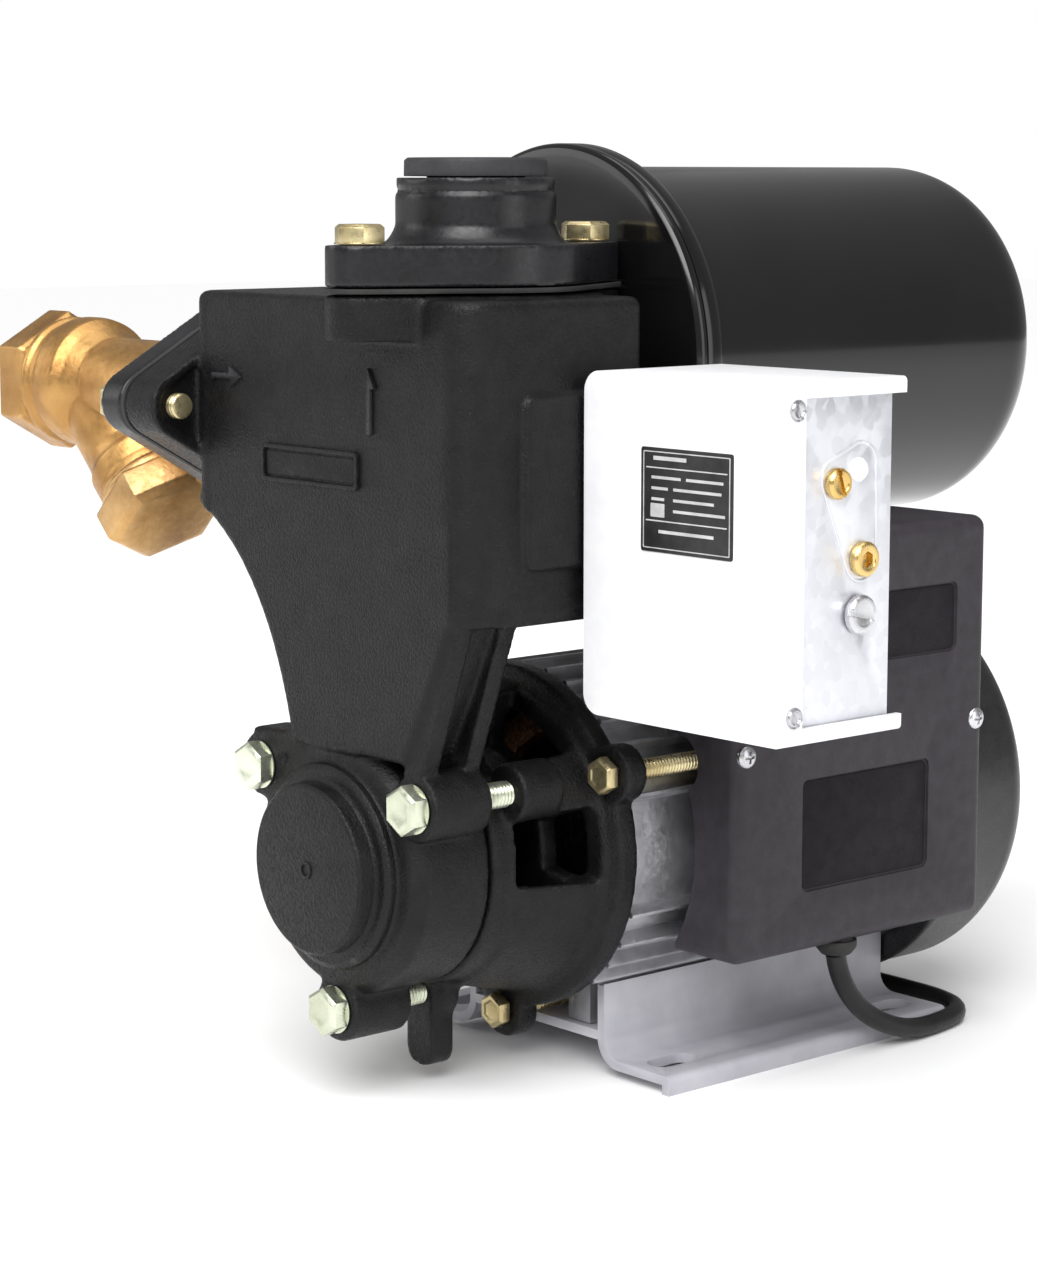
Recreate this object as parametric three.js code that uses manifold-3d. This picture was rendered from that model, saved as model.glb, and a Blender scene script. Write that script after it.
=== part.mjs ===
// Close-coupled self-priming centrifugal water pump with a pressure tank and a pressure switch.
// Millimetres. +Y runs along the shaft from the pump end to the motor end, +X points to the switch
// side and +Z is up. While it is being built everything is measured from the point where the shaft
// axis meets the front face of the pump casing; the group is then moved so that the origin is the
// middle of the base of the pump's bounding box, without its mains lead.
import * as THREE from 'three';
import { mergeVertices } from 'three/addons/utils/BufferGeometryUtils.js';
import Module from 'manifold-3d';

const wasm = await Module();
wasm.setup();

// ---------------------------------------------------------------- driving dimensions
const GAP = 0.3;                 // working gap between neighbouring solids
const FLOOR_Z = -73;             // height of the floor below the shaft

// pump casing
const CHAMBER = { x0: -65.5, x1: 63, y0: 9, y1: 78, z0: 76, z1: 168 };
const CHAMBER_Y = (CHAMBER.y0 + CHAMBER.y1) / 2;
const WALL = 5.5;                // casting thickness
const DRUM_R = 39.5;             // volute drum round the impeller
const DRUM_FRONT_Y = 10;
const SPLIT_Y = 38;              // joint face between casing and bracket
const BOSS_R = 25.5;
const CASING_BOLT_R = 44;        // circle of the casing bolts
const CASING_BOLT_ANGLES = { right: 31, left: 145, bottom: 270 };

// oval pipe flanges, the same outline on the suction and the delivery
const FLANGE_HALF = 42.5;        // centre of the pipe to centre of a bolt
const FLANGE_MID_R = 31;
const FLANGE_LUG_R = 10;
const FLANGE_THICK = 11.7;
const GASKET_THICK = 1.4;
const SUCTION_Z = 133;
const SUCTION_PAD = 12;
const DELIVERY_X = 26.6;
const DELIVERY_PAD_Z = 169.2;
const DELIVERY_BOSS_R = 23.3;
const DELIVERY_BOSS_TOP = 201.5;
const PORT_R = 15;               // bore of both pipe ports

// fasteners
const M8 = 3.95;
const M8_HOLE = 4.4;
const HEX13 = 13 / Math.sqrt(3);
const HEAD_H = 5.5;

// motor
const BRACKET_END_Y = 84;
const BRACKET_R = 54;
const MOTOR_END_Y = 208;
const HOUSING_R = 49.5;
const HOUSING_BORE = 45;
const FIN_R = 54;
const TIE_R = 55.5;
const TIE_ANGLES = { right: 28, left: 152, bottom: 270 };
const STATOR = { y0: 118, y1: 168 };
const ROTOR_R = 25;
const SHAFT_R = 7.5;
const FAN_BORE = 6.3;
const BEARING = { outer: 17.5, width: 10.2 };
const FAN_COVER_R = 66;
const FAN_COVER = { y0: 216.3, y1: 252 };

// wiring cover on the side of the motor
const COVER = { x0: 37, x1: 75, y0: 104, y1: 215.6, z0: -33, z1: 96, wall: 2.5 };
const CORD_EXIT = { x: 67.5, y: 155.5 };

// base
const BASE = { y0: 90, y1: 215.5, sheet: 3, upright: 32, lip: 61, top: -44.5, web: -59 };

// pressure tank
const TANK_Z = 148;
const TANK_R = 57;
const TANK_RIM_R = 64;
const TANK = { rim: 101, end: 271 };

// pressure switch
const NIPPLE = { y: 67, z: 101 };   // pressure tapping that carries the switch
const SWITCH = { x0: 66, x1: 144, y0: 50, y1: 98.5, z0: 50, z1: 148, sheet: 2 };

// strainer on the suction
const STRAINER_FACE_X = CHAMBER.x0 - SUCTION_PAD - GASKET_THICK - FLANGE_THICK - 3 * GAP;
const STRAINER_CROSS_X = -172;   // where the branch leaves the run
const STRAINER_END_X = -203;

// mains lead
const CORD_D = 6.4;
const LEAD_LIFT = 0.1;           // the coil and the plug lie this far above the floor plane
const COIL = { x: -114, y: 205, mid: 35, band: 10, height: 13.4 };

// ---------------------------------------------------------------- materials
const paint = (color, roughness, metalness) =>
  new THREE.MeshStandardMaterial({ color, roughness, metalness });
const IRON = paint(0x17171a, 0.55, 0.3);
const ENAMEL = paint(0x0c0c0e, 0.15, 0.2);
const PLASTIC = paint(0x2b282d, 0.5, 0);
const SOFT_BLACK = paint(0x141414, 0.8, 0);
const ALUMINIUM = paint(0xb9bbbe, 0.45, 0.8);
const BRASS = paint(0xc08a4a, 0.35, 0.9);
const ZINC_YELLOW = paint(0xc9b57a, 0.4, 0.9);
const STEEL = paint(0x9a9da1, 0.3, 0.9);
const LAMINATION = paint(0x5c5e62, 0.5, 0.8);
const COPPER = paint(0xa8582c, 0.4, 0.8);
const BASE_GREY = paint(0xa9a8ad, 0.5, 0.3);
const WHITE = paint(0xf2f2f2, 0.4, 0);
const GALVANISED = paint(0xd6d6da, 0.45, 0.6);
const RUBBER = paint(0x101010, 0.9, 0);
const CERAMIC = paint(0xe6e2d6, 0.3, 0);
const CAPACITOR = paint(0xd0d0cc, 0.5, 0);

// ---------------------------------------------------------------- shapes
const rad = (degrees) => (degrees * Math.PI) / 180;

function box(x0, x1, y0, y1, z0, z1) {
  const shape = new THREE.BoxGeometry(x1 - x0, y1 - y0, z1 - z0);
  return shape.translate((x0 + x1) / 2, (y0 + y1) / 2, (z0 + z1) / 2);
}

// round bars along each axis, from one end coordinate to the other
function barY(r, y0, y1, x = 0, z = 0, sides = 16) {
  return new THREE.CylinderGeometry(r, r, y1 - y0, sides).translate(x, (y0 + y1) / 2, z);
}
function barX(r, x0, x1, y, z, sides = 16) {
  const bar = new THREE.CylinderGeometry(r, r, x1 - x0, sides).rotateZ(Math.PI / 2);
  return bar.translate((x0 + x1) / 2, y, z);
}
function barZ(r, z0, z1, x, y, sides = 16) {
  const bar = new THREE.CylinderGeometry(r, r, z1 - z0, sides).rotateX(Math.PI / 2);
  return bar.translate(x, y, (z0 + z1) / 2);
}

// outlines pushed out along an axis: the outline's own x and y become the two named axes
function slab(shape, depth, options = {}) {
  return new THREE.ExtrudeGeometry(shape, { depth, bevelEnabled: false, curveSegments: 4, ...options });
}
function slabXZ(shape, y0, y1, options) {
  return slab(shape, y1 - y0, options).rotateX(Math.PI / 2).translate(0, y1, 0);
}
function slabYZ(shape, x0, x1, options) {
  const turn = new THREE.Matrix4().set(0, 0, 1, x0, 1, 0, 0, 0, 0, 1, 0, 0, 0, 0, 0, 1);
  return slab(shape, x1 - x0, options).applyMatrix4(turn);
}
function slabXY(shape, z0, z1, options) {
  return slab(shape, z1 - z0, options).translate(0, 0, z0);
}

// a turned part about the Y axis, from [radius, y] points; an outline off the axis is closed into a ring
function turned(points, sides = 20) {
  const outline = points.map(([r, y]) => new THREE.Vector2(r, y));
  const ring = outline[0].x > 0 || outline.at(-1).x > 0;
  if (ring && !outline[0].equals(outline.at(-1))) outline.push(outline[0].clone());
  return new THREE.LatheGeometry(outline, sides);
}

function polygon(points) {
  return new THREE.Shape(points.map(([a, b]) => new THREE.Vector2(a, b)));
}

function roundedRect(a0, a1, b0, b1, r) {
  const corners = Array.isArray(r) ? r : [r, r, r, r];
  const [low, right, top, left] = corners;
  const shape = new THREE.Shape();
  shape.moveTo(a0 + low, b0);
  shape.lineTo(a1 - right, b0);
  shape.absarc(a1 - right, b0 + right, right, -Math.PI / 2, 0);
  shape.lineTo(a1, b1 - top);
  shape.absarc(a1 - top, b1 - top, top, 0, Math.PI / 2);
  shape.lineTo(a0 + left, b1);
  shape.absarc(a0 + left, b1 - left, left, Math.PI / 2, Math.PI);
  shape.lineTo(a0, b0 + low);
  shape.absarc(a0 + low, b0 + low, low, Math.PI, 1.5 * Math.PI);
  return shape;
}

// oval flange: a large circle and two lug circles joined by tangents, long axis along the first axis
function ovalFlange(a, b, grow = 0) {
  const big = FLANGE_MID_R + grow;
  const small = FLANGE_LUG_R + grow;
  const touch = Math.acos((big - small) / FLANGE_HALF);
  const shape = new THREE.Shape();
  shape.absarc(a + FLANGE_HALF, b, small, -touch, touch);
  shape.absarc(a, b, big, touch, Math.PI - touch);
  shape.absarc(a - FLANGE_HALF, b, small, Math.PI - touch, Math.PI + touch);
  shape.absarc(a, b, big, Math.PI + touch, 2 * Math.PI - touch);
  return shape;
}

// ---------------------------------------------------------------- joining and cutting
// a manifold of a geometry; a shape that is one already is given back
function solid(shape) {
  if (!shape.isBufferGeometry) return shape;
  const bare = shape.clone();
  bare.deleteAttribute('normal');
  bare.deleteAttribute('uv');
  const merged = mergeVertices(bare, 1e-4);
  const corners = merged.index.array;
  const at = (i) => new THREE.Vector3().fromBufferAttribute(merged.attributes.position, i);
  const triangles = [];
  let volume = 0;
  for (let i = 0; i < corners.length; i += 3) {
    const [a, b, c] = [corners[i], corners[i + 1], corners[i + 2]];
    if (a === b || b === c || a === c) continue;
    triangles.push(a, b, c);
    volume += at(a).dot(at(b).cross(at(c)));
  }
  if (volume < 0) triangles.reverse();   // the outline was drawn the other way round
  return new wasm.Manifold(new wasm.Mesh({
    numProp: 3,
    vertProperties: new Float32Array(merged.attributes.position.array),
    triVerts: new Uint32Array(triangles),
  }));
}

function join(...pieces) {
  return pieces.map(solid).reduce((whole, piece) => whole.add(piece));
}

function cut(whole, ...tools) {
  return tools.reduce((left, tool) => left.subtract(solid(tool)), solid(whole));
}

function skin(manifold) {
  const mesh = manifold.getMesh();
  const geometry = new THREE.BufferGeometry();
  geometry.setAttribute('position', new THREE.BufferAttribute(mesh.vertProperties, 3));
  geometry.setIndex(new THREE.BufferAttribute(mesh.triVerts, 1));
  geometry.computeVertexNormals();
  return geometry;
}

// ---------------------------------------------------------------- the assembly and how pieces join it
const pump = new THREE.Group();

function place(name, shape, material, position = [0, 0, 0], rotation = [0, 0, 0]) {
  const geometry = skin(solid(shape));
  const mesh = new THREE.Mesh(geometry, material);
  mesh.name = name;
  mesh.position.set(...position);
  mesh.rotation.set(...rotation);
  pump.add(mesh);
  return mesh;
}

const onCircle = (radius, degrees) => [radius * Math.cos(rad(degrees)), radius * Math.sin(rad(degrees))];

// hexagon-head bolt along Y: the head's outer face at y = 0, the shank after it
function hexBolt(length, r = M8, across = HEX13, head = HEAD_H) {
  return join(
    turned([[0, 0], [across * 0.86, 0], [across, 1], [across, head], [0, head]], 6),
    barY(r, head - 0.5, head + length, 0, 0, 10),
  );
}

// ---------------------------------------------------------------- pump casing
function casingBody() {
  const c = CHAMBER;
  const bevel = 2;
  const plan = roundedRect(c.x0 + bevel, c.x1 - bevel, c.y0 + bevel, c.y1 - bevel, [4, 11, 6, 4]);
  const chamber = slabXY(plan, c.z0 + bevel, c.z1 - bevel, {
    bevelEnabled: true, bevelThickness: bevel, bevelSize: bevel, bevelSegments: 1, curveSegments: 4,
  });

  // the inlet corner is swept away under the same curve as the neck
  const sweep = new THREE.Shape();
  sweep.moveTo(c.x0 - 3, 104);
  sweep.lineTo(c.x0, 103);
  sweep.quadraticCurveTo(-30, 85, -19, 35);
  sweep.lineTo(c.x0 - 3, 35);

  const neck = new THREE.Shape();
  neck.moveTo(c.x0, 106);
  neck.lineTo(c.x0, 103);
  neck.quadraticCurveTo(-30, 85, -19, 35);
  neck.lineTo(34, 35);
  neck.lineTo(45, 56);
  neck.lineTo(56, 79);
  neck.lineTo(56, 106);

  const drum = turned([
    [0, 0], [BOSS_R - 1, 0], [BOSS_R, 1], [BOSS_R, 6], [29, 6.5], [30.5, 8], [30.5, DRUM_FRONT_Y],
    [DRUM_R - 3, DRUM_FRONT_Y + 0.5], [DRUM_R, DRUM_FRONT_Y + 4], [DRUM_R, SPLIT_Y], [0, SPLIT_Y],
  ], 24);

  const ears = Object.values(CASING_BOLT_ANGLES).flatMap((angle) => {
    const [x, z] = onCircle(CASING_BOLT_R, angle);
    const web = box(0, CASING_BOLT_R, 12, 30, -8.5, 8.5).rotateY(-rad(angle));
    return [barY(10, 10.5, 32, x, z, 12), web];
  });

  const suctionPad = slabYZ(ovalFlange(CHAMBER_Y, SUCTION_Z), c.x0 - SUCTION_PAD, c.x0 + 1);
  const deliveryPad = slabXY(ovalFlange(0, 0), 156, DELIVERY_PAD_Z);
  deliveryPad.rotateZ(Math.PI / 2).translate(DELIVERY_X, CHAMBER_Y, 0);
  const sidePad = slabYZ(roundedRect(30, 76, 92, 141, 3), c.x1 - 2, c.x1 + 2);
  const footLedge = box(c.x0 + 60, c.x1 + 0.8, c.y0 + 13, c.y1 - 4, c.z0, c.z0 + 4);
  const neckRibs = [
    slabXZ(polygon([[44, 78], [58, 78], [41, 32], [32, 32]]), c.y0 + 2, c.y0 + 8),
    slabXZ(polygon([[50, 78], [58, 78], [40, 30], [33, 30]]), 27, 33),
  ];
  return join(
    cut(chamber, slabXZ(sweep, c.y0 - 1, c.y1 + 1)), slabXZ(neck, c.y0, 33), drum, ...ears,
    suctionPad, deliveryPad, sidePad, footLedge,
    ...neckRibs, slabXZ(polygon([[-41, 30], [-19, 30], [-14, 37], [-40, 36.5]]), 11, 24),
  );
}

function pumpCasing() {
  const c = CHAMBER;
  const suctionFace = c.x0 - SUCTION_PAD;
  const inletRoom = cut(
    box(c.x0 + WALL, -17, c.y0 + WALL, c.y1 - WALL, 100, c.z1 - WALL),
    slabXZ(polygon([[-62, 98], [-62, 108], [-50, 98]]), c.y0, c.y1),
  );
  const hollows = [
    inletRoom,
    box(-12, c.x1 - WALL, c.y0 + WALL, c.y1 - WALL, 82, c.z1 - WALL),
    barX(PORT_R, suctionFace - 1, c.x0 + WALL + 1, CHAMBER_Y, SUCTION_Z, 14),
    barZ(PORT_R, c.z1 - WALL - 1, DELIVERY_PAD_Z + 1, DELIVERY_X, CHAMBER_Y, 14),
    slabXZ(roundedRect(-19, -4, -6, 101, 5), 14, 20.5),
    box(-19, -17.5, 14.6, 34, 100, 106),
    barY(12.5, 14, 26, 0, 0, 14),
    slabXZ(roundedRect(10, 28, 18, 83, 2), 25, 32),
    barY(34, 24, SPLIT_Y + 1, 0, 0, 24),
    barY(36.8, SPLIT_Y - 3.3, SPLIT_Y + 1, 0, 0, 24),
    barY(11.3, c.y1 - WALL - 1, c.y1 + 1, 0, TANK_Z, 12),
    barX(6.9, c.x1 - WALL - 1, c.x1 + 3, NIPPLE.y, NIPPLE.z, 10),
  ];
  const bolts = Object.values(CASING_BOLT_ANGLES).map((angle) => {
    const [x, z] = onCircle(CASING_BOLT_R, angle);
    return barY(M8_HOLE, 8, 36, x, z, 10);
  });
  for (const side of [-1, 1]) {
    bolts.push(barX(M8_HOLE, suctionFace - 1, c.x0 + 8, CHAMBER_Y + side * FLANGE_HALF, SUCTION_Z, 10));
    bolts.push(barZ(M8_HOLE, 158, DELIVERY_PAD_Z + 1, DELIVERY_X, CHAMBER_Y + side * FLANGE_HALF, 10));
  }
  return cut(casingBody(), ...hollows, ...bolts);
}

// ---------------------------------------------------------------- bracket between pump and motor
function windowTool(from, to) {
  const wedge = new THREE.Shape();
  wedge.moveTo(0, 0);
  wedge.absarc(0, 0, 62, rad(from), rad(to));
  const ring = solid(slabXZ(wedge, 47, 74));
  return ring.subtract(solid(barY(30, 40, 80)));
}

function bracket() {
  let body = solid(turned([
    [10, SPLIT_Y + GAP], [40, SPLIT_Y + GAP], [40.5, 39.5], [40.5, 46], [42, 48], [48.8, 75],
    [BRACKET_R, 77], [BRACKET_R, BRACKET_END_Y], [HOUSING_BORE - GAP, BRACKET_END_Y],
    [HOUSING_BORE - GAP, BRACKET_END_Y + 3], [41, BRACKET_END_Y + 3], [41, 73], [22.5, 73], [22.5, 83],
    [17.8, 83], [17.8, 72], [10, 72],
  ], 24));
  const extra = [];
  for (const [name, angle] of Object.entries(CASING_BOLT_ANGLES)) {
    const [x, z] = onCircle(CASING_BOLT_R, angle);
    extra.push(barY(9, 45, name === 'bottom' ? 52 : 61, x, z, 10));
    extra.push(box(30, CASING_BOLT_R, 44.5, name === 'bottom' ? 52 : 61, -6, 6).rotateY(-rad(angle)));
  }
  for (const angle of Object.values(TIE_ANGLES)) {
    const [x, z] = onCircle(TIE_R, angle);
    extra.push(barY(9, 75.5, BRACKET_END_Y, x, z, 10));
  }
  extra.push(slabXZ(roundedRect(-6.5, 6.5, -67.5, -40, [5, 5, 0.1, 0.1]), 42.5, 51.5));
  body = body.add(join(...extra));
  body = cut(body, turned([[17, 47], [38.5, 47], [43.5, 66], [17, 66]], 18));
  for (const [from, to] of [[-8, 20], [42, 80], [100, 136], [156, 188]]) {
    body = body.subtract(windowTool(from, to));
  }
  const holes = [barY(12.6, 44, 53.5, 0, 0, 20)];
  for (const angle of Object.values(CASING_BOLT_ANGLES)) {
    holes.push(barY(M8_HOLE, 36, 58, ...onCircle(CASING_BOLT_R, angle), 10));
  }
  for (const angle of Object.values(TIE_ANGLES)) {
    holes.push(barY(3.6, 74, BRACKET_END_Y + 1, ...onCircle(TIE_R, angle), 10));
  }
  return cut(body, ...holes);
}

// ---------------------------------------------------------------- pump end
const suctionGasketX = CHAMBER.x0 - SUCTION_PAD - GAP;
const suctionFlangeX = suctionGasketX - GASKET_THICK - GAP;
const deliveryGasketZ = DELIVERY_PAD_Z + GAP;
const deliveryFlangeZ = deliveryGasketZ + GASKET_THICK + GAP;

// a flat oval plate in the XY plane with its three holes, thickness along Z
function ovalPlate(thickness, bore, grow = 0, options = {}) {
  const plate = solid(slab(ovalFlange(0, 0, grow), thickness, options));
  const holes = [barZ(bore, -3, thickness + 3, 0, 0, 20)];
  for (const side of [-1, 1]) holes.push(barZ(M8_HOLE, -3, thickness + 3, side * FLANGE_HALF, 0, 10));
  return cut(plate, ...holes);
}

function buildPumpEnd() {
  place('pump_casing', pumpCasing(), IRON);
  place('adaptor_bracket', bracket(), IRON);

  place('casing_o_ring', turned([
    [34.4, SPLIT_Y - 3], [36.4, SPLIT_Y - 3], [36.4, SPLIT_Y - 1.4], [34.4, SPLIT_Y - 1.4],
  ], 24), RUBBER);
  place('wear_ring', turned([[9.6, 20], [12.1, 20], [12.1, 25.4], [9.6, 25.4]], 14), BRASS);

  // suction: the oval outline turned so that its long axis lies along Y and its thickness along -X
  const upright = [-Math.PI / 2, -Math.PI / 2, 0];
  place('suction_gasket', ovalPlate(GASKET_THICK, PORT_R), RUBBER,
    [suctionGasketX, CHAMBER_Y, SUCTION_Z], upright);
  place('suction_flange', ovalPlate(FLANGE_THICK, 17), IRON,
    [suctionFlangeX, CHAMBER_Y, SUCTION_Z], upright);
  for (const [name, side] of [['front', -1], ['rear', 1]]) {
    place(`suction_bolt_${name}`, hexBolt(31.5), ZINC_YELLOW,
      [suctionFlangeX - FLANGE_THICK - GAP - HEAD_H, CHAMBER_Y + side * FLANGE_HALF, SUCTION_Z],
      [0, 0, -Math.PI / 2]);
  }

  // delivery
  const flat = [0, 0, Math.PI / 2];
  place('delivery_gasket', ovalPlate(GASKET_THICK, PORT_R, 0.8), RUBBER,
    [DELIVERY_X, CHAMBER_Y, deliveryGasketZ], flat);
  place('delivery_flange', deliveryFlange(), IRON, [DELIVERY_X, CHAMBER_Y, deliveryFlangeZ], flat);
  for (const [name, side] of [['front', -1], ['rear', 1]]) {
    place(`delivery_bolt_${name}`, hexBolt(22), ZINC_YELLOW,
      [DELIVERY_X, CHAMBER_Y + side * FLANGE_HALF, deliveryFlangeZ + FLANGE_THICK + GAP + HEAD_H],
      [-Math.PI / 2, 0, 0]);
  }
  place('delivery_plug', turned([
    [0, 5.5], [20, 5.5], [20.8, 4.7], [20.8, 0], [14.2, 0], [13.6, -12], [11.6, -12], [12, 2.5], [0, 2.5],
  ], 16), SOFT_BLACK, [DELIVERY_X, CHAMBER_Y, DELIVERY_BOSS_TOP + GAP], [Math.PI / 2, 0, 0]);

  for (const [name, angle] of Object.entries(CASING_BOLT_ANGLES)) {
    const [x, z] = onCircle(CASING_BOLT_R, angle);
    place(`casing_bolt_${name}`, hexBolt(44), ZINC_YELLOW, [x, 10.5 - GAP - HEAD_H, z]);
  }
}

function deliveryFlange() {
  const height = DELIVERY_BOSS_TOP - deliveryFlangeZ;
  const boss = turned([
    [0, 2], [27, 2], [27, FLANGE_THICK], [24.5, FLANGE_THICK + 2.5], [DELIVERY_BOSS_R, FLANGE_THICK + 5],
    [DELIVERY_BOSS_R, height - 4], [DELIVERY_BOSS_R - 0.8, height - 3.6],
    [DELIVERY_BOSS_R - 0.8, height], [0, height],
  ], 18).rotateX(Math.PI / 2);
  const plate = slab(ovalFlange(0, 0, -1), FLANGE_THICK - 2, {
    bevelEnabled: true, bevelThickness: 1, bevelSize: 1, bevelSegments: 1, curveSegments: 6,
  }).translate(0, 0, 1);
  const tools = [barZ(PORT_R, -1, height + 1, 0, 0, 14)];
  for (const side of [-1, 1]) tools.push(barZ(M8_HOLE, -1, 20, side * FLANGE_HALF, 0, 10));
  return cut(join(plate, boss), ...tools);
}

// ---------------------------------------------------------------- strainer
const BRANCH_END = 45;
const CROSSING = [STRAINER_CROSS_X, CHAMBER_Y, SUCTION_Z];
const BRANCH_TURN = [0, Math.PI / 4, -Math.PI / 2];   // +Y of a branch part points down and inwards

const alongRun = (part) => part.rotateZ(-Math.PI / 2).translate(0, CHAMBER_Y, SUCTION_Z);
const alongBranch = (part) => part.rotateZ(-Math.PI / 2).rotateY(Math.PI / 4).translate(...CROSSING);

function strainerBody() {
  const face = STRAINER_FACE_X;
  const end = STRAINER_END_X;
  const run = alongRun(turned([
    [0, -187], [21.8, -187], [21.8, -184.5], [20.4, -183], [20.4, -180], [22, -178], [22, -172],
    [21.5, -168.5], [19, -166], [15.6, -160], [15.6, face - 2], [16.6, face - 1.5], [16.6, face + 7],
    [15.6, face + 8], [0, face + 8],
  ], 18));
  const nut = alongRun(turned([
    [0, end], [20.5, end], [23.6, end + 2], [23.6, -188.5], [21, -186.5], [0, -186.5],
  ], 6));
  const branch = alongBranch(turned([
    [0, 0], [16.4, 0], [16.4, 33], [17.8, 35], [17.8, BRANCH_END], [0, BRANCH_END],
  ], 16));
  const branchBore = alongBranch(barY(13.2, 8, BRANCH_END + 1, 0, 0, 12));
  return cut(
    join(run, nut, branch),
    barX(12.5, end - 1, face + 10, CHAMBER_Y, SUCTION_Z, 14), branchBore,
    barX(16.2, end - 1, -192, CHAMBER_Y, SUCTION_Z, 14),
  );
}

function strainerCap() {
  const hex = 38 / Math.sqrt(3);
  const lid = BRANCH_END + GAP;
  const body = join(
    turned([[0, lid], [18.6, lid], [18.6, lid + 2.5], [0, lid + 2.5]], 16),
    turned([[0, lid + 2], [hex, lid + 2], [hex, lid + 14], [hex - 3, lid + 17], [0, lid + 17]], 6),
    barY(12.8, lid - 8, lid + 1, 0, 0, 12),
  );
  return cut(body, barY(10, lid - 9, lid + 6, 0, 0, 10));
}

function buildStrainer() {
  place('strainer_body', strainerBody(), BRASS);
  place('strainer_cap', strainerCap(), BRASS, CROSSING, BRANCH_TURN);
  const basketEnd = BRANCH_END - 8 - GAP;
  place('strainer_basket', turned([[10.4, 10], [11.6, 10], [11.6, basketEnd], [10.4, basketEnd]], 12),
    STEEL, CROSSING, BRANCH_TURN);
}

// ---------------------------------------------------------------- non-return flap in the suction chamber
const FLAP = { x: CHAMBER.x0 + WALL + 1.2, r: 18, hingeZ: SUCTION_Z + 21 };

function buildFlap() {
  const disc = barX(FLAP.r, FLAP.x, FLAP.x + 4, CHAMBER_Y, SUCTION_Z, 14);
  const arm = box(FLAP.x + 1, FLAP.x + 4, CHAMBER_Y - 5, CHAMBER_Y + 5, SUCTION_Z + 10, FLAP.hingeZ);
  const knuckle = barY(2.5, CHAMBER_Y - 9, CHAMBER_Y + 9, FLAP.x + 2.5, FLAP.hingeZ, 10);
  place('check_valve_flap', join(disc, arm, knuckle), RUBBER);
}

// ---------------------------------------------------------------- shaft line
function impeller() {
  const body = turned([
    [5.3, 24.7], [8.6, 24.7], [8.9, 27], [31, 31.2], [31.5, 31.2], [31.5, 34.6], [9, 36.8], [5.3, 36.8],
  ], 18);
  const vanes = [];
  for (let i = 0; i < 6; i += 1) {
    vanes.push(box(10, 30.8, 26.5, 33, -1, 1).rotateY(rad(i * 60)));
  }
  return join(body, ...vanes);
}

function fan() {
  const hub = turned([
    [FAN_BORE, 220], [13, 220], [13, 224], [50, 225], [50, 227], [13, 228], [13, 236], [FAN_BORE, 236],
  ], 16);
  const blades = [];
  for (let i = 0; i < 8; i += 1) blades.push(box(12, 52, 226, 241, -1, 1).rotateY(rad(i * 45)));
  return join(hub, ...blades);
}

function buildShaftLine() {
  place('shaft', turned([
    [0, 22.5], [3.5, 22.5], [3.5, 26], [5, 26], [5, 40], [6, 40], [6, 70], [SHAFT_R, 70], [SHAFT_R, 117],
    [9, 118], [9, 168], [SHAFT_R, 169], [SHAFT_R, 217], [6, 218], [6, 238], [0, 238],
  ], 14), STEEL);
  place('impeller', impeller(), BRASS);
  const nut = solid(turned([[0, 20.6], [6.2, 20.6], [6.6, 21.2], [6.6, 24.4], [0, 24.4]], 6));
  place('impeller_nut', cut(nut, barY(3.8, 20, 25, 0, 0, 10)), BRASS);
  place('seal_head', turned([
    [6.3, 37.2], [9.4, 37.2], [9.4, 44.4], [11.2, 44.6], [11.2, 46.4], [6.3, 46.4],
  ], 12), STEEL);
  const rotorR = ROTOR_R - 0.6;
  place('rotor_core', turned([
    [9.3, STATOR.y0], [rotorR, STATOR.y0], [rotorR, STATOR.y1], [9.3, STATOR.y1],
  ], 16), LAMINATION);
  place('fan', fan(), PLASTIC);
}

// ---------------------------------------------------------------- motor
function motorHousing() {
  const tube = new THREE.Shape();
  tube.absarc(0, 0, HOUSING_R, 0, 2 * Math.PI);
  const y0 = BRACKET_END_Y + GAP;
  const y1 = MOTOR_END_Y;
  const pieces = [slabXZ(tube, y0, y1, { curveSegments: 20 })];
  for (const angle of [20, 38, 48, 58, 68, 78, 90, 102, 112, 122, 132, 142, 160, 200, 212, 222, 232]) {
    pieces.push(box(HOUSING_R - 1, FIN_R, y0, y1, -1, 1).rotateY(-rad(angle)));
  }
  for (const angle of [-20, -32, -42, -52]) {
    pieces.push(box(HOUSING_R - 1, FIN_R, y0, y1, -1, 1).rotateY(-rad(angle)));
  }
  for (const side of [-1, 1]) {
    pieces.push(box(side * 18 - 5, side * 18 + 5, y0 + 8, y1 - 8, BASE.web + GAP, -44));
  }
  return cut(join(...pieces), barY(HOUSING_BORE, y0 - 1, y1 + 1, 0, 0, 32),
    barX(7, HOUSING_R - 10, HOUSING_R + 8, 150, 10, 10));
}

function endShield() {
  const y0 = MOTOR_END_Y + GAP;
  const body = join(
    turned([
      [10, 196.5], [22.5, 196.5], [22.5, 205], [HOUSING_BORE - GAP, 205], [HOUSING_BORE - GAP, y0],
      [FIN_R, y0], [FIN_R, y0 + 6], [20, y0 + 7], [10, y0 + 7],
    ], 32),
    ...Object.values(TIE_ANGLES).map((angle) => barY(8, y0, y0 + 6, ...onCircle(TIE_R, angle), 10)),
  );
  const holes = Object.values(TIE_ANGLES).map((angle) =>
    barY(3.6, y0 - 1, y0 + 8, ...onCircle(TIE_R, angle), 10));
  return cut(body, barY(17.9, 190, 208, 0, 0, 20), ...holes);
}

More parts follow.
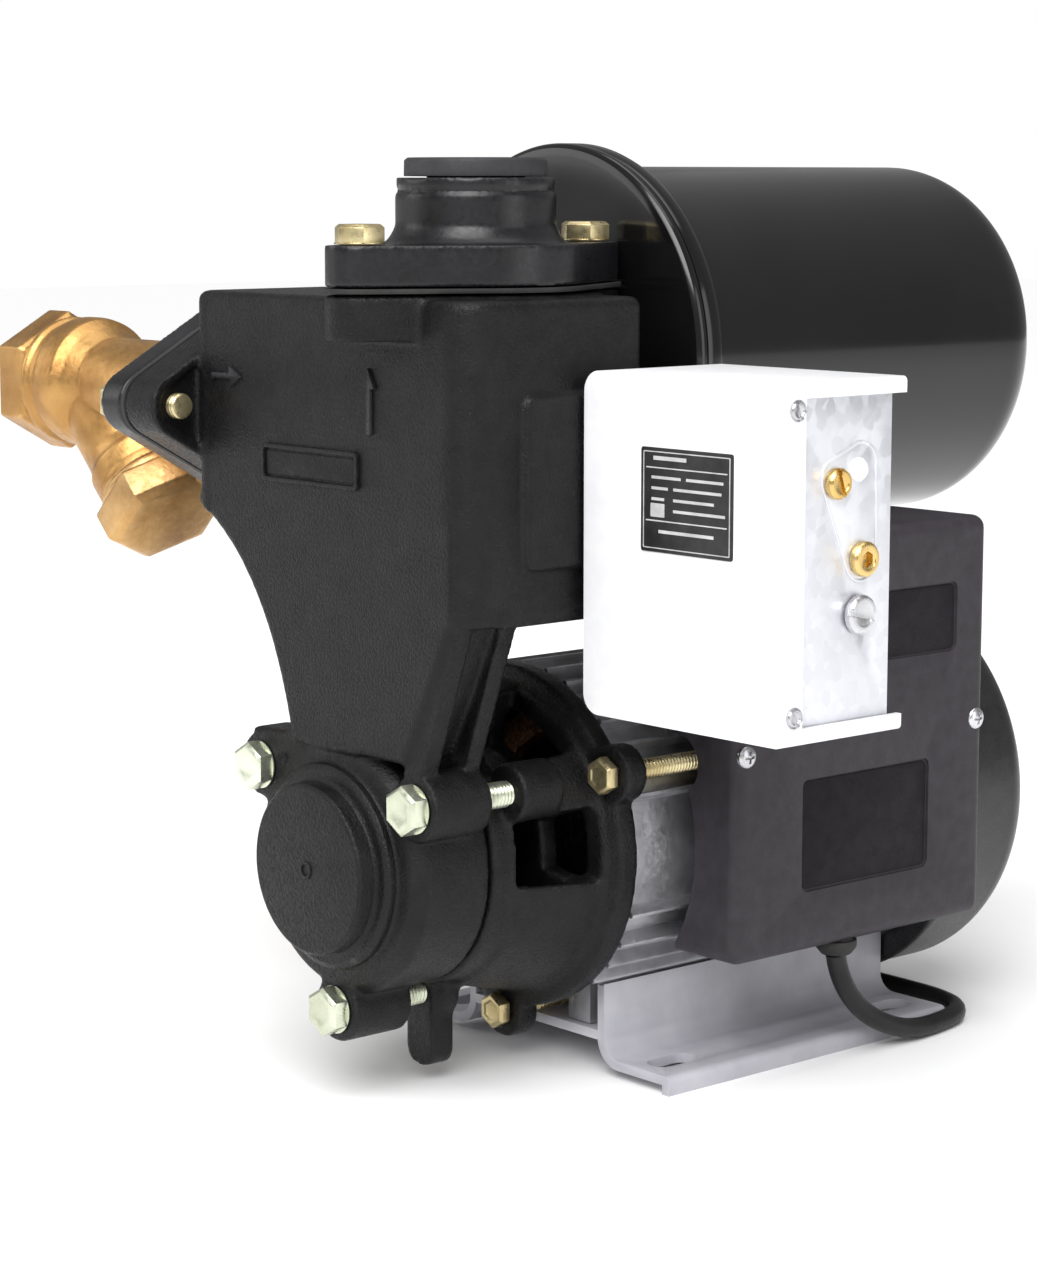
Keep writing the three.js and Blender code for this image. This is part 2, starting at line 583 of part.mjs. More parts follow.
function fanCover() {
  const { y0, y1 } = FAN_COVER;
  const r = FAN_COVER_R;
  const shell = turned([
    [r - 8, y0], [r - 2, y0], [r, y0 + 2], [r, y1 - 10], [r - 3, y1 - 4], [r - 9, y1], [0, y1],
    [0, y1 - 1.8], [r - 10, y1 - 1.8], [r - 4.5, y1 - 5.5], [r - 1.8, y1 - 11], [r - 1.8, y0 + 2.6],
    [r - 8, y0 + 1.8],
  ], 24);
  const slots = [];
  for (let i = 0; i < 12; i += 1) slots.push(box(14, 48, y1 - 4, y1 + 1, -2, 2).rotateY(rad(i * 30)));
  return cut(shell, ...slots);
}

function wiringCover() {
  const c = COVER;
  const face = slabXZ(roundedRect(c.x0, c.x1, c.z0, c.z1, [1, 4, 4, 1]), c.y0, c.y1);
  const inside = box(c.x0 - 5, c.x1 - c.wall, c.y0 + c.wall, c.y1 - c.wall, c.z0 + c.wall, c.z1 - c.wall);
  const plan = slabXY(roundedRect(c.x0 - 5, c.x1, c.y0, c.y1, [1, 4, 4, 1]), c.z0 - 1, c.z1 + 1);
  const panels = [
    box(c.x1 - 0.8, c.x1 + 1, 132, 189, -14, 21),
    box(c.x1 - 0.8, c.x1 + 1, 132, 201, 54, 76),
  ];
  const body = solid(face).intersect(solid(plan));
  return cut(body, inside, ...panels, barY(FIN_R + 3, c.y0 - 1, c.y1 + 1, 0, 0, 28),
    barY(9, c.y0 - 1, c.y1 + 1, ...onCircle(TIE_R, TIE_ANGLES.right), 10),
    barZ(5.6, c.z0 - 1, c.z0 + 4, CORD_EXIT.x, CORD_EXIT.y, 10));
}

function buildMotor() {
  place('motor_housing', motorHousing(), ALUMINIUM);
  const statorR = HOUSING_BORE - GAP;
  place('stator_core', turned([
    [ROTOR_R, STATOR.y0], [statorR, STATOR.y0], [statorR, STATOR.y1], [ROTOR_R, STATOR.y1],
  ], 32), LAMINATION);
  for (const [name, y0, y1] of [['front', 101, STATOR.y0 - GAP], ['rear', STATOR.y1 + GAP, 185]]) {
    place(`winding_${name}`, turned([
      [28, y0 + 2], [30, y0], [39, y0], [41, y0 + 2], [41, y1 - 1], [39, y1], [30, y1], [28, y1 - 1],
    ], 16), COPPER);
  }
  for (const [name, y0] of [['front', 72.3], ['rear', 197.2]]) {
    const y1 = y0 + BEARING.width;
    place(`${name}_bearing_outer_ring`, turned([
      [13.8, y0], [BEARING.outer, y0], [BEARING.outer, y1], [13.8, y1],
    ], 20), STEEL);
  }
  place('seal_seat', turned([[7.6, 46.8], [12.3, 46.8], [12.3, 52.2], [7.6, 52.2]], 20), CERAMIC);
  place('rear_end_shield', endShield(), ALUMINIUM);
  place('fan_cover', fanCover(), PLASTIC);
  for (const [name, angle] of Object.entries(TIE_ANGLES)) {
    const [x, z] = onCircle(TIE_R, angle);
    const rod = join(
      turned([[0, 0], [5.2, 0], [5.77, 0.8], [5.77, 4], [0, 4]], 6),
      barY(3, 3.5, 142.5, 0, 0, 10),
    );
    place(`tie_rod_${name}`, rod, ZINC_YELLOW, [x, 75.5 - GAP - 4, z]);
  }
  place('motor_cover', wiringCover(), PLASTIC);
  place('run_capacitor', turned([
    [0, 125], [14, 125], [14.6, 126], [14.6, 186], [14, 187], [5, 187], [5, 190], [0, 190],
  ], 12), CAPACITOR, [57, 0, 78]);
  place('terminal_block', box(59, 71.8, 118, 146, -22, -4), WHITE);
  place('cable_grommet', turned([
    [3.5, -5], [4.6, -5], [6.6, -2.9], [6.6, -0.3], [5.2, -0.3], [5.2, 2.2], [4.6, 3], [4.3, 16],
    [3.5, 16],
  ], 12), SOFT_BLACK, [CORD_EXIT.x, CORD_EXIT.y, COVER.z0], [Math.PI / 2, 0, 0]);
}

// ---------------------------------------------------------------- base
function base() {
  const b = BASE;
  const foot = FLOOR_Z + 6;              // top of the foot flange
  const outline = new THREE.Shape();
  outline.moveTo(-b.lip, FLOOR_Z);
  outline.lineTo(-b.lip, foot - 1.5);
  outline.quadraticCurveTo(-b.lip, foot, -b.lip + 2, foot);
  outline.lineTo(-b.upright - 6, foot);
  outline.quadraticCurveTo(-b.upright, foot, -b.upright, foot + 6);
  outline.lineTo(-b.upright, b.top);
  outline.lineTo(-b.upright + b.sheet, b.top);
  outline.lineTo(-b.upright + b.sheet, b.web);
  outline.lineTo(b.upright - b.sheet, b.web);
  outline.lineTo(b.upright - b.sheet, b.top);
  outline.lineTo(b.upright, b.top);
  outline.lineTo(b.upright, foot + 6);
  outline.quadraticCurveTo(b.upright, foot, b.upright + 6, foot);
  outline.lineTo(b.lip - 2, foot);
  outline.quadraticCurveTo(b.lip, foot, b.lip, foot - 1.5);
  outline.lineTo(b.lip, FLOOR_Z);
  outline.lineTo(b.lip - b.sheet, FLOOR_Z);
  outline.lineTo(b.lip - b.sheet, foot - b.sheet);
  outline.lineTo(b.upright + 2, foot - b.sheet);
  outline.quadraticCurveTo(b.upright - b.sheet, foot - b.sheet, b.upright - b.sheet, foot + 3);
  outline.lineTo(b.upright - b.sheet, b.web - b.sheet);
  outline.lineTo(-b.upright + b.sheet, b.web - b.sheet);
  outline.lineTo(-b.upright + b.sheet, foot + 3);
  outline.quadraticCurveTo(-b.upright + b.sheet, foot - b.sheet, -b.upright - 2, foot - b.sheet);
  outline.lineTo(-b.lip + b.sheet, foot - b.sheet);
  outline.lineTo(-b.lip + b.sheet, FLOOR_Z);
  const tools = [box(-10, 10, MOTOR_END_Y - 2, b.y1 + 1, b.web - b.sheet - 1, b.web + 1)];
  for (const side of [-1, 1]) {
    for (const y of [b.y0 + 14, b.y1 - 14]) {
      const slot = roundedRect(side * 48 - 4.5, side * 48 + 4.5, y - 9, y + 9, 4.4);
      tools.push(slabXY(slot, FLOOR_Z, foot + 1, { curveSegments: 5 }));
    }
    tools.push(box(side * 31 - 5, side * 31 + 5, b.y1 - 20, b.y1 + 1, b.top - 3, b.top + 1));
  }
  return cut(solid(slabXZ(outline, b.y0, b.y1, { curveSegments: 4 })), ...tools);
}

// ---------------------------------------------------------------- pressure tank
function buildTank() {
  const front = [0, 0, TANK_Z];
  place('tank_shell', cut(solid(turned([
    [TANK_RIM_R - 7, TANK.rim], [TANK_RIM_R - 1, TANK.rim], [TANK_RIM_R, TANK.rim + 1.5],
    [TANK_RIM_R, TANK.rim + 6], [TANK_RIM_R - 1.5, TANK.rim + 7.5], [TANK_R + 1.5, TANK.rim + 8.5],
    [TANK_R, TANK.rim + 11], [TANK_R, 249], [TANK_R - 2.5, 257], [TANK_R - 9, 264], [36, 269],
    [18, TANK.end - 0.4], [0, TANK.end], [0, TANK.end - 1.6], [18, TANK.end - 2], [35, 267.4],
    [46.5, 262.6], [TANK_R - 4, 256], [TANK_R - 1.6, 248.5], [TANK_R - 1.6, TANK.rim + 9],
    [TANK_RIM_R - 7, TANK.rim + 6],
  ], 24)), barY(4.4, 260, 280, 0, 0, 10)), ENAMEL, front);
  const rim = TANK.rim - GAP;
  place('tank_end_plate', turned([
    [8, 92], [14.6, 92], [15, 97.3], [TANK_RIM_R - 3, 97.3], [TANK_RIM_R, 98.5], [TANK_RIM_R, rim],
    [54, rim], [50, 99.3], [8, 99.3],
  ], 24), ENAMEL, front);
  place('tank_diaphragm', turned([
    [0, 178], [34, 172], [48, 150], [52.5, 112], [53.5, rim + GAP], [55.4, rim + GAP], [55.4, TANK.rim + 4],
    [54.2, 112], [49.8, 151], [35.5, 173.8], [0, 180],
  ], 16), RUBBER, front);
  place('tank_nipple', turned([
    [6, 75.5], [11, 75.5], [11, CHAMBER.y1 + 0.5], [12.6, CHAMBER.y1 + 0.5], [12.6, 91], [7.6, 91],
    [7.6, 98], [6, 98],
  ], 12), STEEL, front);
  place('air_valve', turned([
    [0, 262], [4, 262], [4, TANK.end + 0.4], [7, TANK.end + 0.4], [7, TANK.end + 2], [4, TANK.end + 2.5],
    [4, 281], [3.4, 282], [0, 282],
  ], 10), BRASS, front);
}

// ---------------------------------------------------------------- pressure switch
function buildSwitch() {
  const s = SWITCH;
  const t = s.sheet;
  const outer = slabXZ(roundedRect(s.x0, s.x1, s.z0, s.z1, [7, 3, 3, 7]), s.y0, s.y1, { curveSegments: 5 });
  const cover = cut(solid(outer),
    box(s.x0 + t, s.x1 - t, s.y0 + t, s.y1 + 1, s.z0 + t, s.z1 - t),
    box(s.x0 - 1, s.x1 + 1, s.y0 + 9, s.y1 + 1, s.z0 + 4.5, s.z1 - 4.5));
  place('switch_cover', cover, WHITE);

  const inset = t + GAP;
  const b = { x0: s.x0 + inset, x1: s.x1 - inset, y1: s.y1 - 3.5, z0: s.z0 + inset, z1: s.z1 - inset };
  const frame = cut(solid(box(b.x0, b.x1, s.y0 + inset, b.y1, b.z0, b.z1)),
    box(b.x0 + 1.5, b.x1 - 1.5, s.y0, b.y1 - 1.5, b.z0 - 1, b.z1 + 1),
    barX(6.9, b.x0 - 1, b.x0 + 2, NIPPLE.y, NIPPLE.z, 10),
    barX(3, b.x1 - 3, b.x1 + 1, 72.5, 120, 10),
    barX(3.4, b.x1 - 3, b.x1 + 1, 83.3, 98.7, 10),
    barX(4, b.x1 - 3, b.x1 + 1, 82, 83.6, 10));
  place('switch_frame', frame, GALVANISED);
  place('switch_nipple', turned([[3, 59], [6.6, 59], [6.6, 72], [3, 72]], 10), BRASS,
    [0, NIPPLE.y, NIPPLE.z], [0, 0, -Math.PI / 2]);
  const screw = (head, stem, length) => turned([
    [0, -length], [stem, -length], [stem, 0.3], [head, 0.3], [head, 2.6], [head - 0.7, 3.2], [0, 3.2],
  ], 10);
  const out = [0, 0, -Math.PI / 2];
  place('range_screw', screw(4.3, 2.6, 14), BRASS, [b.x1, 72.5, 120], out);
  place('differential_screw', screw(4.9, 3, 14), BRASS, [b.x1, 83.3, 98.7], out);
  place('conduit_plug', screw(5.4, 3.6, 8), STEEL, [b.x1, 82, 83.6], out);

  // bellows on the nipple, the plunger it pushes, the rocking lever and the contact block
  const contacts = cut(solid(box(96, 126, 76, 92.8, 62, 90)), box(100, 122, 75, 82, 66, 86));
  place('contact_block', contacts, PLASTIC);
  const lever = join(
    box(80, 124, 82, 84, 96, 104),
    barZ(3, 94, 106, 104, 86, 10),
    box(102, 106, 83, 87, 97, 103),
  );
  place('switch_lever', lever, STEEL);
  place('pressure_plunger', turned([[0, 0], [9, 0], [9, 4], [3, 5], [3, 7.5], [0, 7.5]], 10), STEEL,
    [84, 74, 100]);
}

// ---------------------------------------------------------------- mains lead
const LEAD_ROUTE = [
  [CORD_EXIT.x, CORD_EXIT.y, COVER.z0 - 5.3],
  [CORD_EXIT.x, CORD_EXIT.y + 0.9, -43],
  [67.7, 159.4, -49.5],
  [68, 164.5, -56],
  [68.2, 171.5, -61.5],
  [68.3, 180.5, -65.8],
  [68, 190, -68.8],
  [67, 200, -69.7],
  [65.6, 209, -69.7],
  [63.6, 218.3, -69.7],
  [57, 225.5, -69.7],
  [47, 229, -69.7],
  [34, 229.5, -69.7],
  [19, 229.3, -69.7],
  [3, 229.5, -69.7],
  [-13, 230.5, -69.7],
  [-29, 233, -69.7],
  [-45, 237.5, -69.7],
  [-61, 242.5, -69.7],
  [-76, 246, -69.7],
  [-90.8, 247, -69.7],
];

function buildLead() {
  const points = LEAD_ROUTE.map((p) => new THREE.Vector3(...p));
  const route = new THREE.CatmullRomCurve3(points, false, 'centripetal');
  const section = new THREE.Shape();
  for (let i = 0; i < 8; i += 1) {
    const [x, y] = onCircle(CORD_D / 2, i * 45);
    if (i === 0) section.moveTo(x, y);
    else section.lineTo(x, y);
  }
  place('cord_lead', new THREE.ExtrudeGeometry(section, { steps: 32, extrudePath: route }), SOFT_BLACK);
  const inner = COIL.mid - COIL.band;
  const outer = COIL.mid + COIL.band;
  place('cord_coil', turned([
    [inner, 0], [outer, 0], [outer, COIL.height], [inner, COIL.height],
  ], 20), SOFT_BLACK, [COIL.x, COIL.y, FLOOR_Z + LEAD_LIFT], [Math.PI / 2, 0, 0]);
  const pins = [[-9.5, 6.4], [9.5, 6.4], [0, 13.6]];
  const plug = join(
    slab(roundedRect(-20, 20, 0, 26, 8), 18, { curveSegments: 3 }),
    slab(roundedRect(-5, 5, -16, 1, 0.5), 9, { curveSegments: 1 }),
    ...pins.map(([x, z]) => barY(2.4, 25, 42, x, z, 10)),
  );
  place('mains_plug', plug, SOFT_BLACK,
    [COIL.x - outer + CORD_D / 2, COIL.y - 42.5, FLOOR_Z + LEAD_LIFT], [0, 0, Math.PI]);
}

// ---------------------------------------------------------------- assembly
buildPumpEnd();
buildStrainer();
buildFlap();
buildShaftLine();
buildMotor();
place('base_bracket', base(), BASE_GREY);
buildTank();
buildSwitch();
buildLead();

const leadParts = ['cord_lead', 'cord_coil', 'mains_plug'];
pump.updateMatrixWorld(true);
const bounds = new THREE.Box3();
for (const mesh of pump.children) {
  if (!leadParts.includes(mesh.name)) bounds.expandByObject(mesh, true);
}
pump.position.set(-(bounds.min.x + bounds.max.x) / 2, -(bounds.min.y + bounds.max.y) / 2, -bounds.min.z);

export default pump;
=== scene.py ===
# Looks of a close-coupled water pump with its pressure tank, pressure switch, strainer and mains lead.
# Shapes are written in millimetres from the point where the shaft axis meets the front face of the
# pump casing: +Y towards the motor, +X towards the switch, +Z up. They are then set in the frame.
import math

import bmesh
import bpy
from mathutils import Matrix, Vector


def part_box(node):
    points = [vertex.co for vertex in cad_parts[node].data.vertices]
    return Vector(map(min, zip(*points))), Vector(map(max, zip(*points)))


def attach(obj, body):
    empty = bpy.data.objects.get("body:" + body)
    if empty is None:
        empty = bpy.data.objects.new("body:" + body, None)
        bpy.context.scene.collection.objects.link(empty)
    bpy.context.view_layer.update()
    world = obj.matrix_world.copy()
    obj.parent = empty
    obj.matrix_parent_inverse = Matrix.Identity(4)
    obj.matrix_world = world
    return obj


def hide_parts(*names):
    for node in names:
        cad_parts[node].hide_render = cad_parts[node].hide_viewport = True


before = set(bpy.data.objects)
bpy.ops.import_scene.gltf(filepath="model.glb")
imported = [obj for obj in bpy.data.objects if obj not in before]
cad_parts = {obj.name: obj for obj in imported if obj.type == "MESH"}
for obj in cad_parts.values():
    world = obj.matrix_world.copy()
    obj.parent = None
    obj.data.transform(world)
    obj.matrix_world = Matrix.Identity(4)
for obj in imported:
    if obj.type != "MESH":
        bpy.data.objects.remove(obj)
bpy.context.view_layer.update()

MM = 0.001
STATOR_FRONT = 118.0
stator_low, stator_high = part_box("stator_core")
HUB = Vector((
    (stator_low.x + stator_high.x) / 2,
    stator_low.y - STATOR_FRONT * MM,
    (stator_low.z + stator_high.z) / 2,
))


def at(x, y, z):
    return HUB + Vector((x, y, z)) * MM


def span(name, axis):
    """Where a node of the frame starts and ends along one axis, in hub millimetres."""
    k = "XYZ".index(axis)
    return tuple((corner[k] - HUB[k]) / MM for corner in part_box(name))


# ------------------------------------------------------------------ driving dimensions
FLOOR_Z = -73.0
CHAMBER_Y = 43.5
SUCTION_Z = 133.0
DELIVERY_X = 26.6
BOLT_CIRCLE = 44.0
BOLT_ANGLES = {"right": 31, "left": 145, "bottom": 270}
TIE_CIRCLE = 55.5
TIE_ANGLES = {"right": 28, "left": 152, "bottom": 270}
FLANGE_HALF = 42.5
FLANGE_MID = 31.0
FLANGE_LUG = 10.0
PORT_R = 15.0
TANK_Z = 148.0
CORD_D = 6.4
CORD_X, CORD_Y = 67.5, 155.5       # where the lead leaves the side cover
COIL_X, COIL_Y, COIL_R = -114.0, 205.0, 41.8


# ------------------------------------------------------------------ camera, floor and light
def camera():
    data = bpy.data.cameras.new("camera")
    data.lens = 86.9
    data.sensor_width = 36
    eye = bpy.data.objects.new("camera", data)
    forward = Vector((-0.7464, 0.6489, -0.1478)).normalized()
    eye.rotation_euler = forward.to_track_quat("-Z", "Y").to_euler()
    eye.location = at(712.0, -536.1, 201.3)
    bpy.context.scene.collection.objects.link(eye)
    bpy.context.scene.camera = eye


def soft_light(name, place, aim, size, power):
    data = bpy.data.lights.new(name, "AREA")
    data.shape = "RECTANGLE"
    data.size, data.size_y = size
    data.energy = power
    lamp = bpy.data.objects.new(name, data)
    lamp.location = place
    lamp.rotation_euler = (Vector(aim) - Vector(place)).to_track_quat("-Z", "Y").to_euler()
    bpy.context.scene.collection.objects.link(lamp)


def studio():
    world = bpy.data.worlds.new("studio")
    world.use_nodes = True
    background = world.node_tree.nodes["Background"]
    background.inputs["Color"].default_value = (1, 1, 1, 1)
    seen = world.node_tree.nodes.new("ShaderNodeLightPath")
    level = world.node_tree.nodes.new("ShaderNodeMapRange")
    level.inputs["To Min"].default_value = 0.3
    level.inputs["To Max"].default_value = 1.0
    world.node_tree.links.new(seen.outputs["Is Camera Ray"], level.inputs["Value"])
    world.node_tree.links.new(level.outputs["Result"], background.inputs["Strength"])
    bpy.context.scene.world = world
    bpy.context.scene.view_settings.view_transform = "Standard"

    floor = bpy.data.meshes.new("floor")
    reach = 6.0
    floor.from_pydata(
        [(-reach, -reach, 0), (reach, -reach, 0), (reach, reach, 0), (-reach, reach, 0)], [], [(0, 1, 2, 3)]
    )
    ground = bpy.data.objects.new("floor", floor)
    bpy.context.scene.collection.objects.link(ground)
    paper = bpy.data.materials.new("paper_floor")
    paper.use_nodes = True
    paper.node_tree.nodes["Principled BSDF"].inputs["Base Color"].default_value = (0.96, 0.96, 0.96, 1)
    paper.node_tree.nodes["Principled BSDF"].inputs["Roughness"].default_value = 0.7
    floor.materials.append(paper)

    centre = at(0, 60, 60)
    soft_light("key", centre + Vector((0.9, -1.3, 1.5)), centre, (1.2, 1.2), 9)
    soft_light("side", centre + Vector((1.9, 0.5, 0.5)), centre, (0.9, 1.3), 7)
    soft_light("fill", centre + Vector((-1.5, -1.2, 0.7)), centre, (1.0, 1.0), 6)
    soft_light("top", centre + Vector((0.0, 0.3, 1.8)), centre, (1.6, 1.0), 9)
    data = bpy.data.lights.new("overcast", "SUN")
    data.energy = 3.35
    data.angle = math.radians(50)
    sun = bpy.data.objects.new("overcast", data)
    sun.rotation_euler = Vector((-0.5, 0.75, -1.0)).to_track_quat("-Z", "Y").to_euler()
    bpy.context.scene.collection.objects.link(sun)


camera()
studio()


# ------------------------------------------------------------------ shapes, in millimetres
AXES = {
    "X": lambda a, b, t: (t, a, b),
    "Y": lambda a, b, t: (a, t, b),
    "Z": lambda a, b, t: (a, b, t),
}


def lathe(profile, sides=96, axis="Y", centre=(0, 0, 0)):
    """A turned shape from (radius, along) points; one that leaves the axis at an end is closed as a ring."""
    points = list(profile)
    on_axis = [r < 1e-6 for r, _ in points]
    closed = not (on_axis[0] and on_axis[-1])
    verts, rows = [], []
    for r, t in points:
        if r < 1e-6:
            rows.append([len(verts)] * sides)
            verts.append(AXES[axis](0, 0, t))
            continue
        rows.append(list(range(len(verts), len(verts) + sides)))
        for i in range(sides):
            angle = 2 * math.pi * i / sides
            verts.append(AXES[axis](r * math.sin(angle), r * math.cos(angle), t))
    faces = []
    pairs = list(zip(rows, rows[1:]))
    if closed:
        pairs.append((rows[-1], rows[0]))
    for one, two in pairs:
        for i in range(sides):
            j = (i + 1) % sides
            corners = []
            for v in (one[i], one[j], two[j], two[i]):
                if v not in corners:
                    corners.append(v)
            if len(corners) > 2:
                faces.append(corners)
    return [(x + centre[0], y + centre[1], z + centre[2]) for x, y, z in verts], faces


def bar(r, start, end, axis="Y", centre=(0, 0, 0), sides=48):
    return lathe([(0, start), (r, start), (r, end), (0, end)], sides, axis, centre)


def prism(outline, start, end, axis):
    """An outline pushed along an axis; its own two coordinates are the other two axes in X, Y, Z order."""
    place = AXES[axis]
    count = len(outline)
    verts = [place(a, b, start) for a, b in outline] + [place(a, b, end) for a, b in outline]
    faces = [list(range(count))[::-1], list(range(count, 2 * count))]
    for i in range(count):
        j = (i + 1) % count
        faces.append([i, j, count + j, count + i])
    return verts, faces


def block(x0, x1, y0, y1, z0, z1):
    return prism([(x0, y0), (x1, y0), (x1, y1), (x0, y1)], z0, z1, "Z")


def arc(a, b, r, start, end, steps=8):
    span = [start + (end - start) * i / steps for i in range(steps + 1)]
    return [(a + r * math.cos(math.radians(t)), b + r * math.sin(math.radians(t))) for t in span]


def rounded(a0, a1, b0, b1, r, steps=6):
    low, right, top, left = r if isinstance(r, (list, tuple)) else (r, r, r, r)
    return (
        arc(a1 - right, b0 + right, right, -90, 0, steps) + arc(a1 - top, b1 - top, top, 0, 90, steps)
        + arc(a0 + left, b1 - left, left, 90, 180, steps) + arc(a0 + low, b0 + low, low, 180, 270, steps)
    )


def oval(a, b, grow=0.0, upright=False):
    """Outline of the two pipe flanges: a round middle and two round lugs along the first or second axis."""
    big, small = FLANGE_MID + grow, FLANGE_LUG + grow
    touch = math.degrees(math.acos((big - small) / FLANGE_HALF))
    points = (
        arc(FLANGE_HALF, 0, small, -touch, touch, 12) + arc(0, 0, big, touch, 180 - touch, 20)
        + arc(-FLANGE_HALF, 0, small, 180 - touch, 180 + touch, 12)
        + arc(0, 0, big, 180 + touch, 360 - touch, 20)
    )
    if upright:
        points = [(-v, u) for u, v in points]
    return [(a + u, b + v) for u, v in points]


def turned_by(part, matrix):
    verts, faces = part
    return [tuple(matrix @ Vector(v)) for v in verts], faces


def about_y(part, degrees):
    return turned_by(part, Matrix.Rotation(-math.radians(degrees), 4, "Y"))


def on_circle(radius, degrees):
    return radius * math.cos(math.radians(degrees)), radius * math.sin(math.radians(degrees))


# ------------------------------------------------------------------ making a piece
def mesh_object(name, parts):
    shape = bmesh.new()
    for verts, faces in parts:
        corners = [shape.verts.new(at(*v)) for v in verts]
        made = [shape.faces.new([corners[i] for i in face]) for face in faces]
        bmesh.ops.recalc_face_normals(shape, faces=made)
    mesh = bpy.data.meshes.new(name)
    shape.to_mesh(mesh)
    shape.free()
    obj = bpy.data.objects.new(name, mesh)
    bpy.context.scene.collection.objects.link(obj)
    return obj


def settle(obj):
    """Turns an object's modifiers into its mesh."""
    graph = bpy.context.evaluated_depsgraph_get()
    mesh = bpy.data.meshes.new_from_object(obj.evaluated_get(graph))
    obj.modifiers.clear()
    obj.data = mesh


def cut_away(obj, tools):
    cutter = mesh_object(obj.name + "_cutter", tools)
    change = obj.modifiers.new("cut", "BOOLEAN")
    change.operation = "DIFFERENCE"
    change.solver = "EXACT"
    change.use_self = True
    change.object = cutter
    settle(obj)
    bpy.data.objects.remove(cutter)


def melt(obj, voxel, steps):
    """Joins overlapping solids into one casting and rounds its edges and inside corners."""
    change = obj.modifiers.new("melt", "REMESH")
    change.mode = "VOXEL"
    change.voxel_size = voxel * MM
    ease = obj.modifiers.new("ease", "SMOOTH")
    ease.factor = 0.5
    ease.iterations = steps
    settle(obj)


def finish_piece(obj, material, body, stands_for, bevel=0.0, sharp=35):
    if bevel:
        change = obj.modifiers.new("edge", "BEVEL")
        change.width = bevel * MM
        change.segments = 2
        change.limit_method = "ANGLE"
        change.angle_limit = math.radians(28)
        change.use_clamp_overlap = True
        settle(obj)
    obj.data.polygons.foreach_set("use_smooth", [True] * len(obj.data.polygons))
    obj.data.set_sharp_from_angle(angle=math.radians(sharp))
    obj.data.materials.clear()
    obj.data.materials.append(material)
    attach(obj, body)
    if stands_for:
        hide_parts(*stands_for)
    return obj


def piece(name, parts, material, body="frame", stands_for=(), bevel=0.0, cut=(), sharp=35):
    obj = mesh_object(name, parts)
    if cut:
        cut_away(obj, cut)
    return finish_piece(obj, material, body, stands_for, bevel, sharp)


def casting(name, parts, material, stands_for, voxel, steps, cut=()):
    obj = mesh_object(name, parts)
    melt(obj, voxel, steps)
    if cut:
        cut_away(obj, cut)
    return finish_piece(obj, material, "frame", stands_for, 0.0, 50)


# ------------------------------------------------------------------ material building
def wire(tree, target, values):
    """Sets or links the inputs of a node, by name or by number."""
    for key, value in values.items():
        socket = target.inputs[key]
        if isinstance(value, bpy.types.NodeSocket):
            tree.links.new(value, socket)
        else:
            socket.default_value = value


def add(tree, kind, values=None, **settings):
    made = tree.nodes.new("ShaderNode" + kind)
    for key, value in settings.items():
        setattr(made, key, value)
    wire(tree, made, values or {})
    return made


def ramp(tree, source, stops):
    """A colour ramp with plain grey or coloured stops, as (place, value) pairs."""
    made = add(tree, "ValToRGB", {"Fac": source})
    band = made.color_ramp
    while len(band.elements) < len(stops):
        band.elements.new(0.5)
    for element, (place, value) in zip(band.elements, stops):
        element.position = place
        element.color = (value, value, value, 1) if isinstance(value, (int, float)) else (*value, 1)
    return made.outputs["Color"]


def blend_colour(tree, factor, one, two):
    made = add(tree, "Mix", data_type="RGBA")
    wire(tree, made, {0: factor, 6: one, 7: two})
    return made.outputs[2]


def maths(tree, how, one, two=0.0):
    return add(tree, "Math", {0: one, 1: two}, operation=how).outputs[0]


def shared(name, inputs, outputs, build):
    """A shader node group, made once and used by several finishes."""
    tree = bpy.data.node_groups.new(name, "ShaderNodeTree")
    for label, kind, value in inputs:
        socket = tree.interface.new_socket(label, in_out="INPUT", socket_type=kind)
        socket.default_value = value
    for label, kind in outputs:
        tree.interface.new_socket(label, in_out="OUTPUT", socket_type=kind)
    inside = tree.nodes.new("NodeGroupInput").outputs
    result = tree.nodes.new("NodeGroupOutput").inputs
    build(tree, inside, result)
    return tree


FLOAT = "NodeSocketFloat"


def build_grain(tree, inside, result):
    place = add(tree, "TexCoord").outputs["Object"]
    fine = add(tree, "TexNoise", {"Vector": place, "Scale": inside["Scale"], "Detail": 3.0, "Roughness": 0.6})
    wide = maths(tree, "MULTIPLY", inside["Scale"], 0.12)
    broad = add(tree, "TexNoise", {"Vector": place, "Scale": wide, "Detail": 2.0})
    mixed = add(tree, "Mix", {0: inside["Broad"], 2: fine.outputs["Fac"], 3: broad.outputs["Fac"]})
    tree.links.new(mixed.outputs[0], result["Height"])
    tree.links.new(fine.outputs["Fac"], result["Fine"])
    tree.links.new(broad.outputs["Fac"], result["Patches"])


def build_edges(tree, inside, result):
    pointed = add(tree, "NewGeometry").outputs["Pointiness"]
    place = add(tree, "TexCoord").outputs["Object"]
    noise = add(tree, "TexNoise",
                {"Vector": place, "Scale": inside["Scale"], "Detail": 4.0, "Roughness": 0.7})
    lift = maths(tree, "MULTIPLY", maths(tree, "SUBTRACT", noise.outputs["Fac"], 0.5), 0.06)
    edge = add(tree, "MapRange", {"Value": maths(tree, "ADD", pointed, lift), "From Min": inside["Start"],
                                  "From Max": inside["Full"]})
    tree.links.new(maths(tree, "MULTIPLY", edge.outputs["Result"], inside["Amount"]), result["Mask"])


